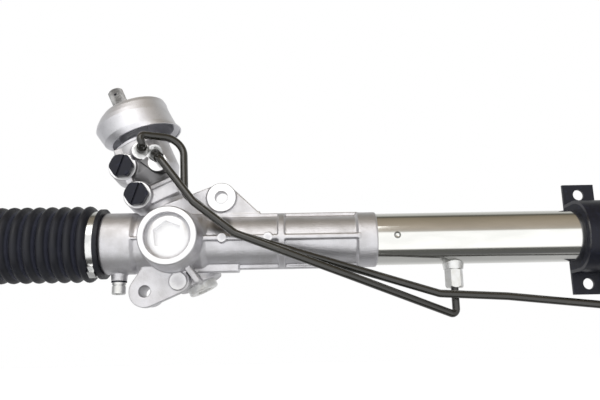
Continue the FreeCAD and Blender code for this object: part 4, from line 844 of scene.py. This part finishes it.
class STEERING_OT_bellows(bpy.types.Operator):
    """Model the folded bellows in three lengths on each side"""
    bl_idname = "steering.bellows"
    bl_label = "Bellows"

    FULL_FOLDS = 15  # the folds beyond these shrink towards the rod
    CUTS = (8, 12)  # folds that end the inner and the middle length
    STEPS = 10
    ROUNDNESS = 0.7
    LIP_R = 32.5
    LIP_LENGTH = 3.6
    CUFF_LENGTH = 10.0
    LAST_CREST = 21.0
    LAST_VALLEY = 13.5
    SMALL_CUFF_R = 11.0
    SMALL_CUFF_LENGTH = 13.0
    ROD_R = 6.8
    SEAM_TURN = math.radians(29.0)
    SEAM_WIDTH = 0.035
    SEAM_HEIGHT = 0.22

    def execute(self, context):
        settings = context.scene.steering_rubber
        rubber = bellows_rubber(settings)
        tube_low, tube_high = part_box("cylinder_tube")
        seats = {"left": settings.barrel / MM, "right": (tube_high.z - tube_low.z) / 2 / MM}
        for side, outwards in (("left", -1), ("right", 1)):
            low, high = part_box(side + "_bellows")
            lip = Vector((high.x if outwards < 0 else low.x, RACK_LINE.y, RACK_LINE.z))
            self.add_bellows(settings, side, lip, outwards, seats[side], rubber)
        repaint(polished_band(context.scene.steering_metal), "left_band_clamp", "right_band_clamp",
                "left_small_clamp", "right_small_clamp")
        return {"FINISHED"}

    def add_bellows(self, settings, side, lip, outwards, seat, rubber):
        """Three lengths of one bellows, cut at two of its valleys."""
        outline = self.outline(settings, seat)
        first, last = (self.valley_at(settings, fold) for fold in self.CUTS)
        end = outline[-1][1]
        grip = self.valley_at(settings, settings.folds - 1)
        lengths = (("inner", 0.0, first, self.CUFF_LENGTH, first, "housing", "rack"),
                   ("middle", first, last, first, last, "rack", side + "_seat"),
                   ("outer", last, end, last, grip, side + "_seat", side + "_tie_rod"))
        place = basis(lip, (outwards, 0, 0))
        for name, low, high, start, stop, near_body, far_body in lengths:
            outer = [point for point in outline if low - 0.01 <= point[1] <= high + 0.01]
            inner = [(self.inside(settings, seat, radius, height), height) for radius, height in outer]
            mesh = lathe(outer + inner[::-1], place, settings.segments, self.seam(place))
            self.mark_folds(mesh, settings, place)
            piece = new_piece(side + "_bellows_" + name, shaded(mesh, angle=50), None,
                              rubber, [side + "_bellows"])
            place @ Vector((0, 0, start * MM))
            place @ Vector((0, 0, stop * MM))
            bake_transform(piece)

    def valley_at(self, settings, fold):
        """Distance from the lip to the valley beyond a fold."""
        return (settings.first_crest + settings.pitch * (fold + 0.5)) / MM

    def radii(self, settings, fold):
        """Crest and valley radius: the last folds shrink towards the small cuff."""
        share = max(0, fold - self.FULL_FOLDS + 1) / (settings.folds - self.FULL_FOLDS)
        crest, valley = settings.crest / MM, settings.valley / MM
        return crest + (self.LAST_CREST - crest) * share, valley + (self.LAST_VALLEY - valley) * share

    def outline(self, settings, seat):
        """Outside of the bellows, as (radius, distance from the lip)."""
        cuff = seat + settings.skin / MM
        points = [(self.LIP_R, 0.0), (self.LIP_R, self.LIP_LENGTH), (cuff, self.LIP_LENGTH + 0.1),
                  (cuff, self.CUFF_LENGTH - 0.1)]
        for fold in range(settings.folds):
            crest, valley = self.radii(settings, fold)
            before = self.radii(settings, max(0, fold - 1))[1]
            for step in range(self.STEPS + 1):
                share = step / self.STEPS - 0.5
                height = self.valley_at(settings, fold) + (share - 0.5) * settings.pitch / MM
                root = before if share < 0 else valley
                if height > self.CUFF_LENGTH + 0.4 and (step < self.STEPS or fold == settings.folds - 1):
                    swell = math.cos(math.pi * share) ** self.ROUNDNESS
                    points.append((root + (crest - root) * swell, height))
        end = self.valley_at(settings, settings.folds - 1)
        return points + [(self.SMALL_CUFF_R, end + 1.0), (self.SMALL_CUFF_R, end + self.SMALL_CUFF_LENGTH)]

    def inside(self, settings, seat, radius, height):
        """Inner radius behind a point of the outline."""
        if height < self.CUFF_LENGTH:
            return seat + 0.2
        if height > self.valley_at(settings, settings.folds - 1) + 0.5:
            return self.ROD_R
        return radius - 0.8 * settings.skin / MM

    def seam(self, place):
        """Low ridge where the two halves of the mould met."""
        ridge = Vector((0, -math.cos(self.SEAM_TURN), math.sin(self.SEAM_TURN)))
        ridge = place.to_3x3().inverted() @ ridge
        ridge_at = math.atan2(ridge.y, ridge.x)

        def wave(turn, radius, height):
            near = abs(math.sin(turn - ridge_at)) < self.SEAM_WIDTH
            return radius + (self.SEAM_HEIGHT if near and height > self.CUFF_LENGTH else 0.0)
        return wave

    def mark_folds(self, mesh, settings, place):
        """Stores how far each point is from a valley, 0 to 1, so that the sheen painted round the valleys stays
        there at every pose.
        """
        upright = place.inverted()
        fold = mesh.attributes.new("fold", "FLOAT", "POINT")
        for vertex, mark in zip(mesh.vertices, fold.data):
            phase = ((upright @ vertex.co).z - settings.first_crest) / settings.pitch
            mark.value = 0.5 + 0.5 * math.cos(2 * math.pi * phase) if phase > -0.3 else 1.0


class STEERING_OT_rods(bpy.types.Operator):
    """Finish the tie rods, their sockets, seats and jam nuts"""
    bl_idname = "steering.rods"
    bl_label = "Tie rods"

    def execute(self, context):
        metal = context.scene.steering_metal
        repaint(forged_steel(metal), "left_socket", "right_socket")
        for side, outwards in (("left", -1), ("right", 1)):
            ball = Vector(JOINTS[side + "_rod_swing"]["pos_m"])
            repaint(threaded_steel(metal, side + " rod steel", ball, (outwards, 0, 0)), side + "_tie_rod")
        repaint(zinc_plate(metal), "left_jam_nut", "right_jam_nut")
        repaint(white_moulding(), "left_ball_seat", "right_ball_seat")
        return {"FINISHED"}


class STEERING_OT_saddle(bpy.types.Operator):
    """Finish the right-hand rubber block and its steel saddle"""
    bl_idname = "steering.saddle"
    bl_label = "Right-hand mount"

    def execute(self, context):
        rubber = context.scene.steering_rubber
        repaint(black_moulding(rubber, "mount rubber", 0.6), "mount_rubber")
        repaint(black_moulding(rubber, "black steel", 0.32), "mount_saddle")
        return {"FINISHED"}


class STEERING_PT_panel(bpy.types.Panel):
    """The rack's pieces and the stage, in the order that they are made"""
    bl_idname = "STEERING_PT_panel"
    bl_label = "Steering Rack"
    bl_space_type = "VIEW_3D"
    bl_region_type = "UI"
    bl_category = "Steering Rack"

    def draw(self, context):
        for operator in OPERATORS:
            self.layout.operator(operator.bl_idname)
        for name in SETTINGS:
            group = getattr(context.scene, name)
            for key in group.__annotations__:
                self.layout.prop(group, key)


SETTINGS = {"steering_casting": CastingSettings, "steering_metal": MetalSettings,
            "steering_rubber": RubberSettings, "steering_stage": StageSettings}
OPERATORS = (STEERING_OT_stage, STEERING_OT_casting, STEERING_OT_tower, STEERING_OT_cylinder,
             STEERING_OT_lines, STEERING_OT_bellows, STEERING_OT_rods, STEERING_OT_saddle)


def register():
    for group in SETTINGS.values():
        bpy.utils.register_class(group)
    for operator in OPERATORS:
        bpy.utils.register_class(operator)
    bpy.utils.register_class(STEERING_PT_panel)
    for name, group in SETTINGS.items():
        setattr(bpy.types.Scene, name, PointerProperty(type=group))


def unregister():
    for name in SETTINGS:
        delattr(bpy.types.Scene, name)
    bpy.utils.unregister_class(STEERING_PT_panel)
    for operator in reversed(OPERATORS):
        bpy.utils.unregister_class(operator)
    for group in SETTINGS.values():
        bpy.utils.unregister_class(group)


def main():
    register()
    for operator in OPERATORS:
        group, name = operator.bl_idname.split(".")
        getattr(getattr(bpy.ops, group), name)()


if __name__ == "__main__":
    main()
